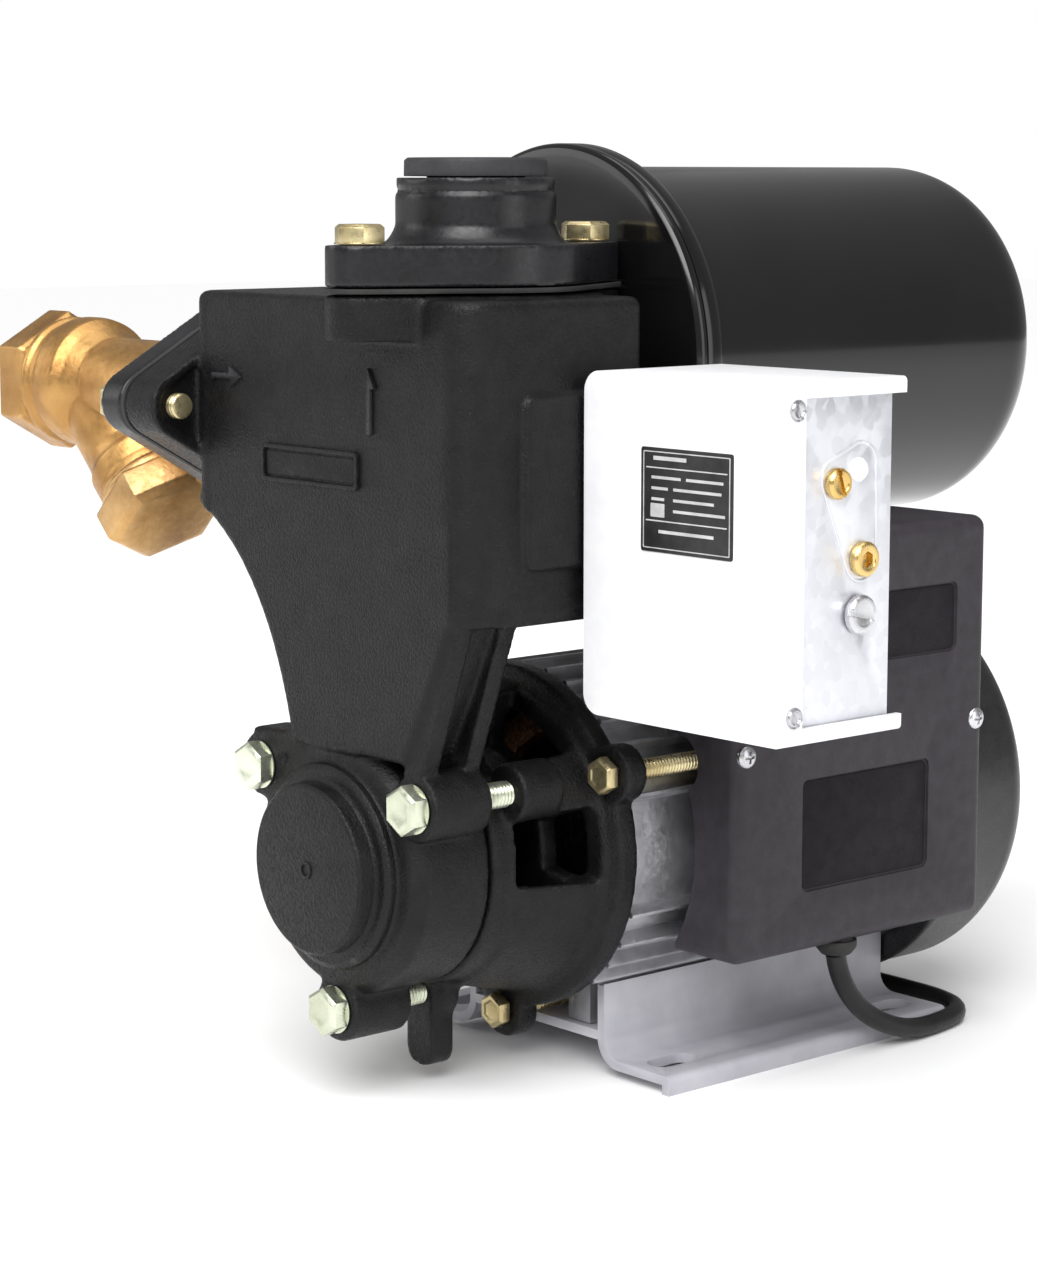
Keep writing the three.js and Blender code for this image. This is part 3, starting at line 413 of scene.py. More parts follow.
def build_dust(tree, inside, result):
    up = add(tree, "SeparateXYZ", {"Vector": add(tree, "NewGeometry").outputs["Normal"]}).outputs["Z"]
    place = add(tree, "TexCoord").outputs["Object"]
    noise = add(tree, "TexNoise",
                {"Vector": place, "Scale": inside["Scale"], "Detail": 5.0, "Roughness": 0.65})
    facing = add(tree, "MapRange", {"Value": up, "From Min": 0.2, "From Max": 1.0})
    spots = add(tree, "MapRange", {"Value": noise.outputs["Fac"], "From Min": 0.4, "From Max": 0.75})
    both = maths(tree, "MULTIPLY", facing.outputs["Result"], spots.outputs["Result"])
    tree.links.new(maths(tree, "MULTIPLY", both, inside["Amount"]), result["Mask"])


def build_turning(tree, inside, result):
    """Fine lines left by a lathe or a brush, drawn out across one direction."""
    place = add(tree, "TexCoord").outputs["Object"]
    stretch = add(tree, "CombineXYZ",
                  {"X": inside["Along X"], "Y": inside["Along Y"], "Z": inside["Along Z"]})
    long = add(tree, "VectorMath", {0: place, 1: stretch.outputs["Vector"]}, operation="MULTIPLY")
    lines = add(tree, "TexNoise", {"Vector": long.outputs["Vector"], "Scale": 1.0, "Detail": 3.0})
    tree.links.new(lines.outputs["Fac"], result["Lines"])


def build_spangle(tree, inside, result):
    place = add(tree, "TexCoord").outputs["Object"]
    flakes = add(tree, "TexVoronoi", {"Vector": place, "Scale": inside["Scale"], "Randomness": 1.0})
    shade = add(tree, "SeparateColor", {"Color": flakes.outputs["Color"]}).outputs["Red"]
    noise = add(tree, "TexNoise", {"Vector": place, "Scale": inside["Scale"], "Detail": 4.0})
    tree.links.new(add(tree, "Mix", {0: 0.35, 2: shade, 3: noise.outputs["Fac"]}).outputs[0], result["Value"])


GRAIN = shared("surface_grain", [("Scale", FLOAT, 600), ("Broad", FLOAT, 0.3)],
               [("Height", FLOAT), ("Fine", FLOAT), ("Patches", FLOAT)], build_grain)
# The edge mask carries real wear on most finishes and a painted highlight on the strainer brass.
EDGES = shared("edge_wear_and_painted_highlight", [("Scale", FLOAT, 300), ("Start", FLOAT, 0.52), ("Full", FLOAT, 0.6),
                             ("Amount", FLOAT, 1)], [("Mask", FLOAT)], build_edges)
DUST = shared("settled_dust", [("Scale", FLOAT, 90), ("Amount", FLOAT, 0.3)], [("Mask", FLOAT)], build_dust)
TURNING = shared("turning_lines",
                 [("Along X", FLOAT, 200), ("Along Y", FLOAT, 3000), ("Along Z", FLOAT, 200)],
                 [("Lines", FLOAT)], build_turning)
SPANGLE = shared("zinc_spangle", [("Scale", FLOAT, 260)], [("Value", FLOAT)], build_spangle)


def use(tree, group, **values):
    made = tree.nodes.new("ShaderNodeGroup")
    made.node_tree = group
    wire(tree, made, {key.replace("_", " "): value for key, value in values.items()})
    return made.outputs


class Finish:
    """A Principled material under construction."""

    def __init__(self, name, metallic=0.0, **shader_values):
        self.material = bpy.data.materials.new(name)
        self.material.use_nodes = True
        self.tree = self.material.node_tree
        self.shader = self.tree.nodes["Principled BSDF"]
        self.shader.inputs["Metallic"].default_value = metallic
        for key, value in shader_values.items():
            self.shader.inputs[key.replace("_", " ")].default_value = value

    def colour(self, source):
        self.tree.links.new(source, self.shader.inputs["Base Color"])

    def roughness(self, source, low, high):
        spread = add(self.tree, "MapRange", {"Value": source, "From Min": 0.3, "From Max": 0.7,
                                             "To Min": low, "To Max": high})
        self.tree.links.new(spread.outputs["Result"], self.shader.inputs["Roughness"])

    def bump(self, height, strength, depth_mm):
        made = add(self.tree, "Bump", {"Height": height, "Strength": strength, "Distance": depth_mm * MM})
        self.tree.links.new(made.outputs["Normal"], self.shader.inputs["Normal"])


def black_casting():
    f = Finish("black_casting", Specular_IOR_Level=0.24)
    grain = use(f.tree, GRAIN, Scale=1150.0, Broad=0.2)
    body = ramp(f.tree, grain["Patches"], [(0.3, (0.003, 0.0028, 0.0032)), (0.7, (0.007, 0.0065, 0.0074))])
    worn = use(f.tree, EDGES, Scale=500.0, Start=0.535, Full=0.64, Amount=0.5)["Mask"]
    body = blend_colour(f.tree, worn, body, (0.055, 0.054, 0.06, 1))
    dust = use(f.tree, DUST, Scale=120.0, Amount=0.12)["Mask"]
    f.colour(blend_colour(f.tree, dust, body, (0.09, 0.083, 0.075, 1)))
    f.roughness(grain["Fine"], 0.24, 0.6)
    f.bump(grain["Height"], 0.9, 0.5)
    return f.material


def black_flange():
    f = Finish("black_flange_paint", Specular_IOR_Level=0.4)
    grain = use(f.tree, GRAIN, Scale=520.0, Broad=0.4)
    body = ramp(f.tree, grain["Patches"], [(0.3, (0.005, 0.005, 0.006)), (0.7, (0.01, 0.01, 0.012))])
    worn = use(f.tree, EDGES, Scale=500.0, Start=0.53, Full=0.62, Amount=0.45)["Mask"]
    f.colour(blend_colour(f.tree, worn, body, (0.08, 0.08, 0.09, 1)))
    f.roughness(grain["Fine"], 0.26, 0.44)
    f.bump(grain["Height"], 0.4, 0.25)
    return f.material


def tank_enamel():
    f = Finish("tank_enamel", Specular_IOR_Level=0.42, Coat_Weight=0.1, Coat_Roughness=0.05)
    grain = use(f.tree, GRAIN, Scale=160.0, Broad=0.5)
    f.colour(ramp(f.tree, grain["Patches"], [(0.3, (0.004, 0.0036, 0.004)), (0.7, (0.007, 0.0065, 0.007))]))
    f.roughness(grain["Patches"], 0.12, 0.2)
    f.bump(grain["Height"], 0.05, 0.12)
    return f.material


def moulded(name, dark, light, rough, grain_scale=1600.0, depth=0.12, sheen=0.4):
    f = Finish(name, Specular_IOR_Level=sheen)
    grain = use(f.tree, GRAIN, Scale=grain_scale, Broad=0.2)
    body = ramp(f.tree, grain["Patches"], [(0.3, dark), (0.7, light)])
    worn = use(f.tree, EDGES, Scale=400.0, Start=0.53, Full=0.62, Amount=0.25)["Mask"]
    f.colour(blend_colour(f.tree, worn, body, tuple(min(1, 2.6 * v + 0.01) for v in light) + (1,)))
    f.roughness(grain["Fine"], *rough)
    f.bump(grain["Height"], 0.5, depth)
    return f.material


def metal(name, dark, light, rough):
    f = Finish(name, metallic=1.0)
    grain = use(f.tree, GRAIN, Scale=350.0, Broad=0.5)
    mark = use(f.tree, TURNING, Along_X=200.0, Along_Y=3000.0, Along_Z=200.0)["Lines"]
    f.colour(ramp(f.tree, grain["Patches"], [(0.32, dark), (0.68, light)]))
    f.roughness(mark, *rough)
    f.bump(mark, 0.25, 0.06)
    return f.material


def rough_brass():
    f = Finish("strainer_brass", metallic=0.85)
    grain = use(f.tree, GRAIN, Scale=420.0, Broad=0.55)
    body = ramp(f.tree, grain["Patches"], [(0.25, (0.29, 0.14, 0.04)), (0.75, (0.66, 0.385, 0.135))])
    # The bright brass blended in along the edges is a painted highlight, not wear.
    painted_edge_highlight = use(f.tree, EDGES, Scale=300.0, Start=0.52, Full=0.6, Amount=0.7)["Mask"]
    f.colour(blend_colour(f.tree, painted_edge_highlight, body, (0.9, 0.66, 0.36, 1)))
    f.roughness(grain["Fine"], 0.3, 0.52)
    f.bump(grain["Height"], 0.6, 0.5)
    return f.material


def yellow_zinc(name, dark, light):
    f = Finish(name, metallic=0.9)
    grain = use(f.tree, GRAIN, Scale=420.0, Broad=0.5)
    f.colour(ramp(f.tree, grain["Patches"], [(0.3, dark), (0.7, light)]))
    f.roughness(grain["Fine"], 0.22, 0.42)
    f.bump(grain["Height"], 0.3, 0.15)
    return f.material


def motor_aluminium():
    f = Finish("motor_aluminium", metallic=0.9)
    grain = use(f.tree, GRAIN, Scale=700.0, Broad=0.4)
    body = ramp(f.tree, grain["Patches"], [(0.3, (0.42, 0.42, 0.44)), (0.7, (0.66, 0.66, 0.69))])
    dust = use(f.tree, DUST, Scale=150.0, Amount=0.25)["Mask"]
    f.colour(blend_colour(f.tree, dust, body, (0.3, 0.29, 0.27, 1)))
    f.roughness(grain["Fine"], 0.34, 0.55)
    f.bump(grain["Height"], 0.4, 0.2)
    return f.material


def base_paint():
    f = Finish("base_grey_paint", Coat_Weight=0.15, Coat_Roughness=0.3)
    grain = use(f.tree, GRAIN, Scale=700.0, Broad=0.4)
    body = ramp(f.tree, grain["Patches"], [(0.3, (0.36, 0.355, 0.395)), (0.7, (0.43, 0.425, 0.465))])
    worn = use(f.tree, EDGES, Scale=350.0, Start=0.54, Full=0.64, Amount=0.4)["Mask"]
    body = blend_colour(f.tree, worn, body, (0.62, 0.62, 0.64, 1))
    dust = use(f.tree, DUST, Scale=60.0, Amount=0.18)["Mask"]
    f.colour(blend_colour(f.tree, dust, body, (0.3, 0.27, 0.24, 1)))
    f.roughness(grain["Fine"], 0.35, 0.5)
    f.bump(grain["Height"], 0.2, 0.1)
    return f.material


def white_paint():
    f = Finish("white_powder_coat", Coat_Weight=0.2, Coat_Roughness=0.25)
    grain = use(f.tree, GRAIN, Scale=1300.0, Broad=0.3)
    body = ramp(f.tree, grain["Patches"], [(0.3, (0.84, 0.84, 0.86)), (0.7, (0.9, 0.9, 0.91))])
    worn = use(f.tree, EDGES, Scale=350.0, Start=0.55, Full=0.66, Amount=0.12)["Mask"]
    f.colour(blend_colour(f.tree, worn, body, (0.55, 0.55, 0.56, 1)))
    f.roughness(grain["Fine"], 0.36, 0.5)
    f.bump(grain["Height"], 0.25, 0.08)
    return f.material


def galvanised():
    f = Finish("galvanised_sheet", metallic=0.6)
    flake = use(f.tree, SPANGLE, Scale=300.0)["Value"]
    f.colour(ramp(f.tree, flake, [(0.15, (0.66, 0.67, 0.71)), (0.85, (0.76, 0.77, 0.81))]))
    f.roughness(flake, 0.34, 0.5)
    f.bump(flake, 0.08, 0.05)
    return f.material


def varnished_copper():
    f = Finish("varnished_copper", metallic=0.8, Coat_Weight=0.5, Coat_Roughness=0.2)
    wires = use(f.tree, TURNING, Along_X=900.0, Along_Y=900.0, Along_Z=900.0)["Lines"]
    f.colour(ramp(f.tree, wires, [(0.35, (0.05, 0.02, 0.009)), (0.65, (0.2, 0.085, 0.038))]))
    f.roughness(wires, 0.3, 0.5)
    f.bump(wires, 0.6, 0.5)
    return f.material


def laminations():
    f = Finish("steel_laminations", metallic=0.9)
    sheets = use(f.tree, TURNING, Along_X=20.0, Along_Y=2400.0, Along_Z=20.0)["Lines"]
    f.colour(ramp(f.tree, sheets, [(0.35, (0.09, 0.09, 0.1)), (0.65, (0.28, 0.28, 0.3))]))
    f.roughness(sheets, 0.35, 0.6)
    f.bump(sheets, 0.5, 0.3)
    return f.material


CASTING = black_casting()
FLANGE_PAINT = black_flange()
ENAMEL = tank_enamel()
COVER = moulded("cover_plastic", (0.026, 0.0225, 0.027), (0.036, 0.032, 0.038), (0.42, 0.58), sheen=0.26)
RECESS = moulded("recess_plastic", (0.009, 0.0075, 0.009), (0.014, 0.012, 0.014), (0.5, 0.66), sheen=0.12)
FAN_PLASTIC = moulded("fan_cover_plastic", (0.012, 0.012, 0.013), (0.02, 0.019, 0.02), (0.24, 0.4))
CAP_PLASTIC = moulded("cap_plastic", (0.018, 0.018, 0.02), (0.034, 0.034, 0.038), (0.5, 0.7), 700.0, 0.3)
RUBBER = moulded("gasket_rubber", (0.012, 0.012, 0.012), (0.024, 0.023, 0.022), (0.6, 0.8), 500.0, 0.2)
SHEATH = moulded("cord_sheath", (0.008, 0.008, 0.008), (0.014, 0.014, 0.014), (0.35, 0.5), 900.0, 0.05, 0.25)
CAPACITOR = moulded("capacitor_can", (0.5, 0.5, 0.48), (0.62, 0.62, 0.6), (0.4, 0.55))
CERAMIC = moulded("seal_ceramic", (0.68, 0.66, 0.6), (0.78, 0.76, 0.7), (0.12, 0.25), 300.0, 0.02)
LABEL_BLACK = moulded("label_black", (0.012, 0.012, 0.012), (0.024, 0.024, 0.024), (0.3, 0.5))
LABEL_INK = moulded("label_ink", (0.2, 0.2, 0.2), (0.42, 0.42, 0.42), (0.4, 0.6))
ALUMINIUM = motor_aluminium()
BRASS = rough_brass()
SCREW_BRASS = metal("screw_brass", (0.68, 0.46, 0.16), (0.88, 0.68, 0.32), (0.18, 0.36))
ZINC = yellow_zinc("yellow_zinc", (0.5, 0.4, 0.2), (0.8, 0.7, 0.42))
# A paler, greener copy of the yellow zinc: the paleness is a painted highlight for bolt heads that look burnt
# out to white.
ZINC_PAINTED_HIGHLIGHT = yellow_zinc("zinc_painted_highlight", (0.55, 0.58, 0.44), (0.82, 0.86, 0.7))
STEEL = metal("bright_steel", (0.5, 0.5, 0.52), (0.72, 0.72, 0.74), (0.2, 0.38))
GREY = base_paint()
WHITE = white_paint()
SHEET = galvanised()
COPPER = varnished_copper()
CORE = laminations()


# ------------------------------------------------------------------ mains lead
def lead_route():
    """Points of the lead in hub millimetres: out of the cover, past the foot, round the base and the coil."""
    points = [
        (CORD_X, CORD_Y, -38.3), (67.5, 156.4, -43), (67.7, 159.4, -49.5), (68, 164.5, -56),
        (68.2, 171.5, -61.5),
        (68.3, 180.5, -65.8), (68, 190, -68.8), (67, 200, -69.7), (65.6, 209, -69.7), (63.6, 218.3, -69.7),
        (57, 225.5, -69.7), (47, 229, -69.7), (34, 229.5, -69.7), (19, 229.3, -69.7), (3, 229.5, -69.7),
        (-13, 230.5, -69.7), (-29, 233, -69.7), (-45, 237.5, -69.7), (-61, 242.5, -69.7), (-76, 246, -69.7),
        (-92, 247, -69.7), (-103, 247, -69.7),
    ]
    pitch, layer = 6.5, 6.6
    steps, low = 24, -69.7
    inward, level, outward, last = 2.0, 1.0, 2.0, 0.25
    total = inward + level + outward + last
    for i in range(int(total * steps) + 1):
        turns = i / steps
        angle = math.radians(90 + 360 * turns)
        if turns < inward:
            radius, climb = COIL_R - pitch * turns, 0.0
        elif turns < inward + level:
            part = (turns - inward) / level
            radius, climb = COIL_R - pitch * inward, part * part * (3 - 2 * part)
        elif turns < inward + level + outward:
            radius, climb = COIL_R - pitch * (inward + level + outward - turns), 1.0
        else:
            radius, climb = COIL_R, 1.0
        points.append((COIL_X + radius * math.cos(angle), COIL_Y + radius * math.sin(angle),
                       low + layer * climb))
    drop, start, end = 4.1, 203.0, 177.0
    for i in range(1, 8):
        part = i / 7
        y = start + (end - start) * part
        points.append((COIL_X - COIL_R, y, low + layer - drop * part * part * (3 - 2 * part)))
    return points


def mains_lead():
    data = bpy.data.curves.new("mains_lead", "CURVE")
    data.dimensions = "3D"
    data.bevel_depth = CORD_D / 2 * MM
    data.bevel_resolution = 5
    data.resolution_u = 4
    data.use_fill_caps = True
    line = data.splines.new("NURBS")
    route = [at(*p) for p in lead_route()]
    line.points.add(len(route) - 1)
    for point, place in zip(line.points, route):
        point.co = (*place, 1)
    line.order_u = 4
    line.use_endpoint_u = True
    data.materials.append(SHEATH)
    lead = bpy.data.objects.new("mains_lead", data)
    bpy.context.scene.collection.objects.link(lead)
    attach(lead, "frame")
    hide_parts("cord_lead", "cord_coil")
    length = sum((b - a).length for a, b in zip(route, route[1:]))
    return lead, route[0], length


def coil_tie():
    """A flat tie round the coil's section, on the side away from the pump."""
    outer = rounded(-156.6, -135.4, -72.8, -59.0, 3.2)
    inner = rounded(-156.0, -136.0, -72.4, -59.6, 2.8)
    band = rim(outer, inner, 201.5, 208.5, "Y")
    knot = prism(rounded(-149, -143, -59.6, -57.9, 0.8), 202, 208, "Y")
    return piece("coil_tie", [band, knot], RUBBER, bevel=0.15)


def rim(outer, inner, start, end, axis):
    """A flat ring between two outlines with the same number of points."""
    place = AXES[axis]
    count = len(outer)
    verts = [place(a, b, t) for t in (start, end) for loop in (outer, inner) for a, b in loop]
    faces = []
    for i in range(count):
        j = (i + 1) % count
        low_out, low_in, top_out, top_in = (k * count for k in range(4))
        faces += [
            [low_out + i, low_out + j, low_in + j, low_in + i],
            [top_out + i, top_out + j, top_in + j, top_in + i],
            [low_out + i, low_out + j, top_out + j, top_out + i],
            [low_in + i, low_in + j, top_in + j, top_in + i],
        ]
    return verts, faces


def mains_plug():
    """Moulded plug with a ribbed grip, lying on its side; it points towards -Y."""
    x, y, z = COIL_X - COIL_R, COIL_Y - 42.5, FLOOR_Z + 0.1
    body = [
        prism(rounded(x - 19.6, x + 19.6, z + 0.2, z + 17.8, 5), y - 25.6, y - 7, "Y"),
        prism(rounded(x - 16.5, x + 16.5, z + 0.4, z + 17.4, 6), y - 8, y - 3, "Y"),
        prism(rounded(x - 11, x + 11, z + 0.6, z + 15.5, 6), y - 4, y - 0.4, "Y"),
        prism(rounded(x - 5, x + 5, z + 0.3, z + 9.6, 4), y - 1, y + 15.8, "Y"),
    ]
    shell = casting("plug_body", body, SHEATH, ("mains_plug",), 0.8, 3)
    outer = rounded(x - 5.1, x + 5.1, z + 0.2, z + 9.7, 4)
    inner = rounded(x - 4.6, x + 4.6, z + 0.6, z + 9.2, 3.6)
    ribs = [rim(outer, inner, y + t, y + t + 1.2, "Y") for t in (3, 6, 9, 12)]
    boot = piece("plug_strain_relief", ribs, SHEATH, bevel=0.1)
    pins = []
    for dx, dz in ((-9.5, 6.4), (9.5, 6.4), (0, 13.6)):
        pin = [(0, y - 41.9), (1.7, y - 41.9), (2.35, y - 41.0), (2.35, y - 24), (0, y - 24)]
        pins.append(lathe(pin, 32, "Y", (x + dx, 0, z + dz)))
    metal_pins = piece("plug_pins", pins, SCREW_BRASS)
    return [shell, boot, metal_pins]


def lead_set():
    lead, start, length = mains_lead()
    plug = mains_plug()
    tie = coil_tie()


# ------------------------------------------------------------------ fasteners
def aimed(part, origin, direction):
    """Puts a part that was made along +Z from zero at a place, pointing along a direction."""
    turn = Vector(direction).normalized().to_track_quat("Z", "Y").to_matrix().to_4x4()
    return turned_by(part, Matrix.Translation(Vector(origin)) @ turn)


def thread(r, start, end):
    """Outline of a threaded rod along +Z, crest and root by turns."""
    pitch = 1.25
    profile = [(0, start), (r - 0.3, start)]
    count = int((end - start) / pitch)
    for i in range(count):
        z = start + pitch * i
        profile += [(r, z + 0.3 * pitch), (r, z + 0.5 * pitch), (r - 0.55, z + pitch)]
    return profile + [(r - 0.6, end), (0, end)]


def bolt(name, origin, direction, length, node, material=ZINC, across=13.0, head=5.5, r=3.95, washer=True):
    """Hexagon-head bolt; origin is the middle of the head's outer face."""
    corner = across / math.sqrt(3)
    parts = [
        lathe([(0, 0.35), (corner * 0.5, 0.35), (corner * 0.62, 0), (corner * 0.84, 0), (corner, 0.95),
               (corner, head - 0.35), (corner * 0.97, head - 0.1), (0, head - 0.1)], 6, "Z"),
        lathe(thread(r, head - 0.5, head + length - 0.3), 32, "Z"),
    ]
    if washer:
        parts.append(bar(corner * 0.97, head - 0.4, head + 0.1, "Z", sides=40))
    placed = [aimed(p, origin, direction) for p in parts]
    piece(name, placed, material, stands_for=(node,), bevel=0.12, sharp=30)


def bolts():
    for name, angle in BOLT_ANGLES.items():
        x, z = on_circle(BOLT_CIRCLE, angle)
        # The casing bolts take the paler zinc, whose paleness is a painted highlight on their heads.
        bolt(f"casing_bolt_{name}_hex", (x, 4.7, z), (0, 1, 0), 44, f"casing_bolt_{name}", ZINC_PAINTED_HIGHLIGHT)
    for name, side in (("front", -1), ("rear", 1)):
        y = CHAMBER_Y + side * FLANGE_HALF
        head_x = span(f"suction_bolt_{name}", "X")[0]
        bolt(f"suction_bolt_{name}_hex", (head_x, y, SUCTION_Z), (1, 0, 0), 31.5, f"suction_bolt_{name}")
        top = span(f"delivery_bolt_{name}", "Z")[1]
        bolt(f"delivery_bolt_{name}_hex", (DELIVERY_X, y, top), (0, 0, -1), 22, f"delivery_bolt_{name}")
    for name, angle in TIE_ANGLES.items():
        x, z = on_circle(TIE_CIRCLE, angle)
        bolt(f"tie_rod_{name}_hex", (x, 71.2, z), (0, 1, 0), 138, f"tie_rod_{name}",
             across=10.0, head=4.0, r=3.0, washer=False)


# ------------------------------------------------------------------ pump casing
def curve_points(a, b, c, steps=12):
    """A quadratic curve from a to c that is pulled towards b."""
    return [tuple((1 - t) ** 2 * p + 2 * t * (1 - t) * q + t * t * s for p, q, s in zip(a, b, c))
            for t in (i / steps for i in range(steps + 1))]


def soften(obj, width, chosen):
    """Rounds every edge whose two ends are both chosen."""
    shape = bmesh.new()
    shape.from_mesh(obj.data)
    edges = [e for e in shape.edges if all(chosen(v.co) for v in e.verts)]
    bmesh.ops.bevel(shape, geom=edges, offset=width * MM, segments=4, profile=0.5, affect="EDGES")
    shape.to_mesh(obj.data)
    shape.free()


def taken(obj):
    """The verts and faces of a helper object, in hub millimetres; the object is removed."""
    verts = [tuple((v.co - HUB) / MM) for v in obj.data.vertices]
    faces = [list(p.vertices) for p in obj.data.polygons]
    bpy.data.objects.remove(obj)
    return verts, faces


def pump_casing():
    swept = curve_points((-65.2, 103), (-30, 85), (-19, 35), 16)
    plan = rounded(-65.2, 62.7, 9.3, 77.7, (4, 11, 6, 4), 8)
    chamber = mesh_object("chamber", [prism(plan, 76.3, 167.8, "Z")])
    soften(chamber, 2.6, lambda v: v.z > (HUB.z + 167 * MM) or v.z < (HUB.z + 77 * MM))
    cut_away(chamber, [prism([(-70, 104), *swept, (-70, 35)], 5, 82, "Y")])
    neck_outline = [(-65.2, 106), *swept, (34, 35), (45, 56), (55.7, 79), (55.7, 106)]
    neck = prism(neck_outline, 9.3, 33, "Y")
    drum = lathe([
        (0, 0.15), (24.2, 0.15), (25.4, 1.2), (25.4, 6.2), (29.2, 6.6), (30.4, 8), (30.4, 10.2),
        (36, 10.7), (39.2, 14.5), (39.4, 37.9), (0, 37.9),
    ], 128)
    parts = [taken(chamber), neck, drum]
    for angle in BOLT_ANGLES.values():
        x, z = on_circle(BOLT_CIRCLE, angle)
        parts.append(bar(9.9, 10.6, 32, "Y", (x, 0, z)))
        parts.append(about_y(block(0, BOLT_CIRCLE, 12, 30, -8.4, 8.4), angle))
    parts.append(prism(oval(CHAMBER_Y, SUCTION_Z), -77.4, -64, "X"))
    edge = rim(oval(CHAMBER_Y, SUCTION_Z, -0.2), oval(CHAMBER_Y, SUCTION_Z, -3.0), -66, -62.2, "X")
    parts.append(edge)
    parts.append(prism(oval(DELIVERY_X, CHAMBER_Y, 0, True), 156.2, 169.0, "Z"))
    parts.append(prism(rounded(30, 76, 92, 141, 3), 61, 64.8, "X"))
    parts.append(block(-5.5, 63.6, 22, 74, 76.2, 80))
    parts.append(prism([(44, 78), (58, 78), (41, 32), (32, 32)], 11, 17, "Y"))
    parts.append(prism([(50, 78), (58, 78), (40, 30), (33, 30)], 27, 33, "Y"))
    parts.append(prism([(-41, 30), (-19, 30), (-14, 37), (-40, 36.5)], 11, 24, "Y"))
    casting("pump_casing_cast", parts, CASTING, ("pump_casing",), 0.9, 4)

    # raised marks on the front: an arrow in, an arrow up and a blank name pad
    front = 9.6
    inward = [(-56, 141.5), (-47, 141.5), (-47, 139.2), (-41.5, 142.4), (-47, 145.6), (-47, 143.3),
              (-56, 143.3)]
    upward = [(19.4, 129), (19.4, 142), (17.4, 142), (20.3, 148), (23.2, 142), (21.2, 142), (21.2, 129)]
    pad = rim(rounded(-31, 15, 112.5, 123.5, 1.5), rounded(-29.8, 13.8, 113.7, 122.3, 1),
              front - 1.4, front + 0.6, "Y")
    marks = [prism(shape, front - 1.4, front + 0.6, "Y") for shape in (inward, upward)]
    marks.append(prism(rounded(-29, 13, 114.5, 121.5, 0.8), front - 0.7, front + 0.6, "Y"))
    marks.append(rim(arc(0, 0, 2.6, 0, 345, 23), arc(0, 0, 1.7, 0, 345, 23), -0.45, 1.0, "Y"))
    piece("casing_cast_marks", [*marks, pad], CASTING, bevel=0.25)
    rings = lathe([(0, 0.02), (24.6, 0.02), (25.6, 0.8), (25.6, 6.3), (28.9, 6.3), (30.7, 7.4), (30.7, 12),
                   (0, 12)], 128)
    piece("casing_front_rings", [rings], CASTING, bevel=0.3)


def bracket():
    body = lathe([
        (10.2, 38.5), (39.8, 38.5), (40.4, 39.6), (40.4, 46), (42, 48), (48.8, 75), (53.9, 77), (53.9, 83.8),
        (44.6, 83.8), (44.6, 86.8), (41, 86.8), (41, 73), (22.5, 73), (22.5, 82.8), (18, 82.8), (18, 72),
        (10.2, 72),
    ], 96)
    tools = [lathe([(17, 47), (38.5, 47), (43.5, 66), (17, 66)], 64)]
    for start, end in ((-8, 20), (42, 80), (100, 136), (156, 188)):
        wedge = arc(0, 0, 62, start, end, 12) + arc(0, 0, 30, end, start, 12)
        tools.append(prism(wedge, 47, 74, "Y"))
    obj = mesh_object("adaptor_bracket_cast", [body])
    for tool in tools:
        cut_away(obj, [tool])
    extra = []
    for name, angle in BOLT_ANGLES.items():
        x, z = on_circle(BOLT_CIRCLE, angle)
        end = 51.8 if name == "bottom" else 60.8
        extra.append(bar(8.9, 45.1, end, "Y", (x, 0, z)))
        extra.append(about_y(block(30, BOLT_CIRCLE, 44.6, end, -5.9, 5.9), angle))
    for angle in TIE_ANGLES.values():
        x, z = on_circle(TIE_CIRCLE, angle)
        extra.append(bar(8.9, 75.6, 83.8, "Y", (x, 0, z)))
    extra.append(prism(rounded(-6.4, 6.4, -67.3, -40, (5, 5, 0.1, 0.1)), 42.6, 51.4, "Y"))
    obj = mesh_object("adaptor_bracket_cast", [taken(obj), *extra])
    melt(obj, 0.95, 5)
    finish_piece(obj, CASTING, "frame", ("adaptor_bracket",), 0.0, 50)


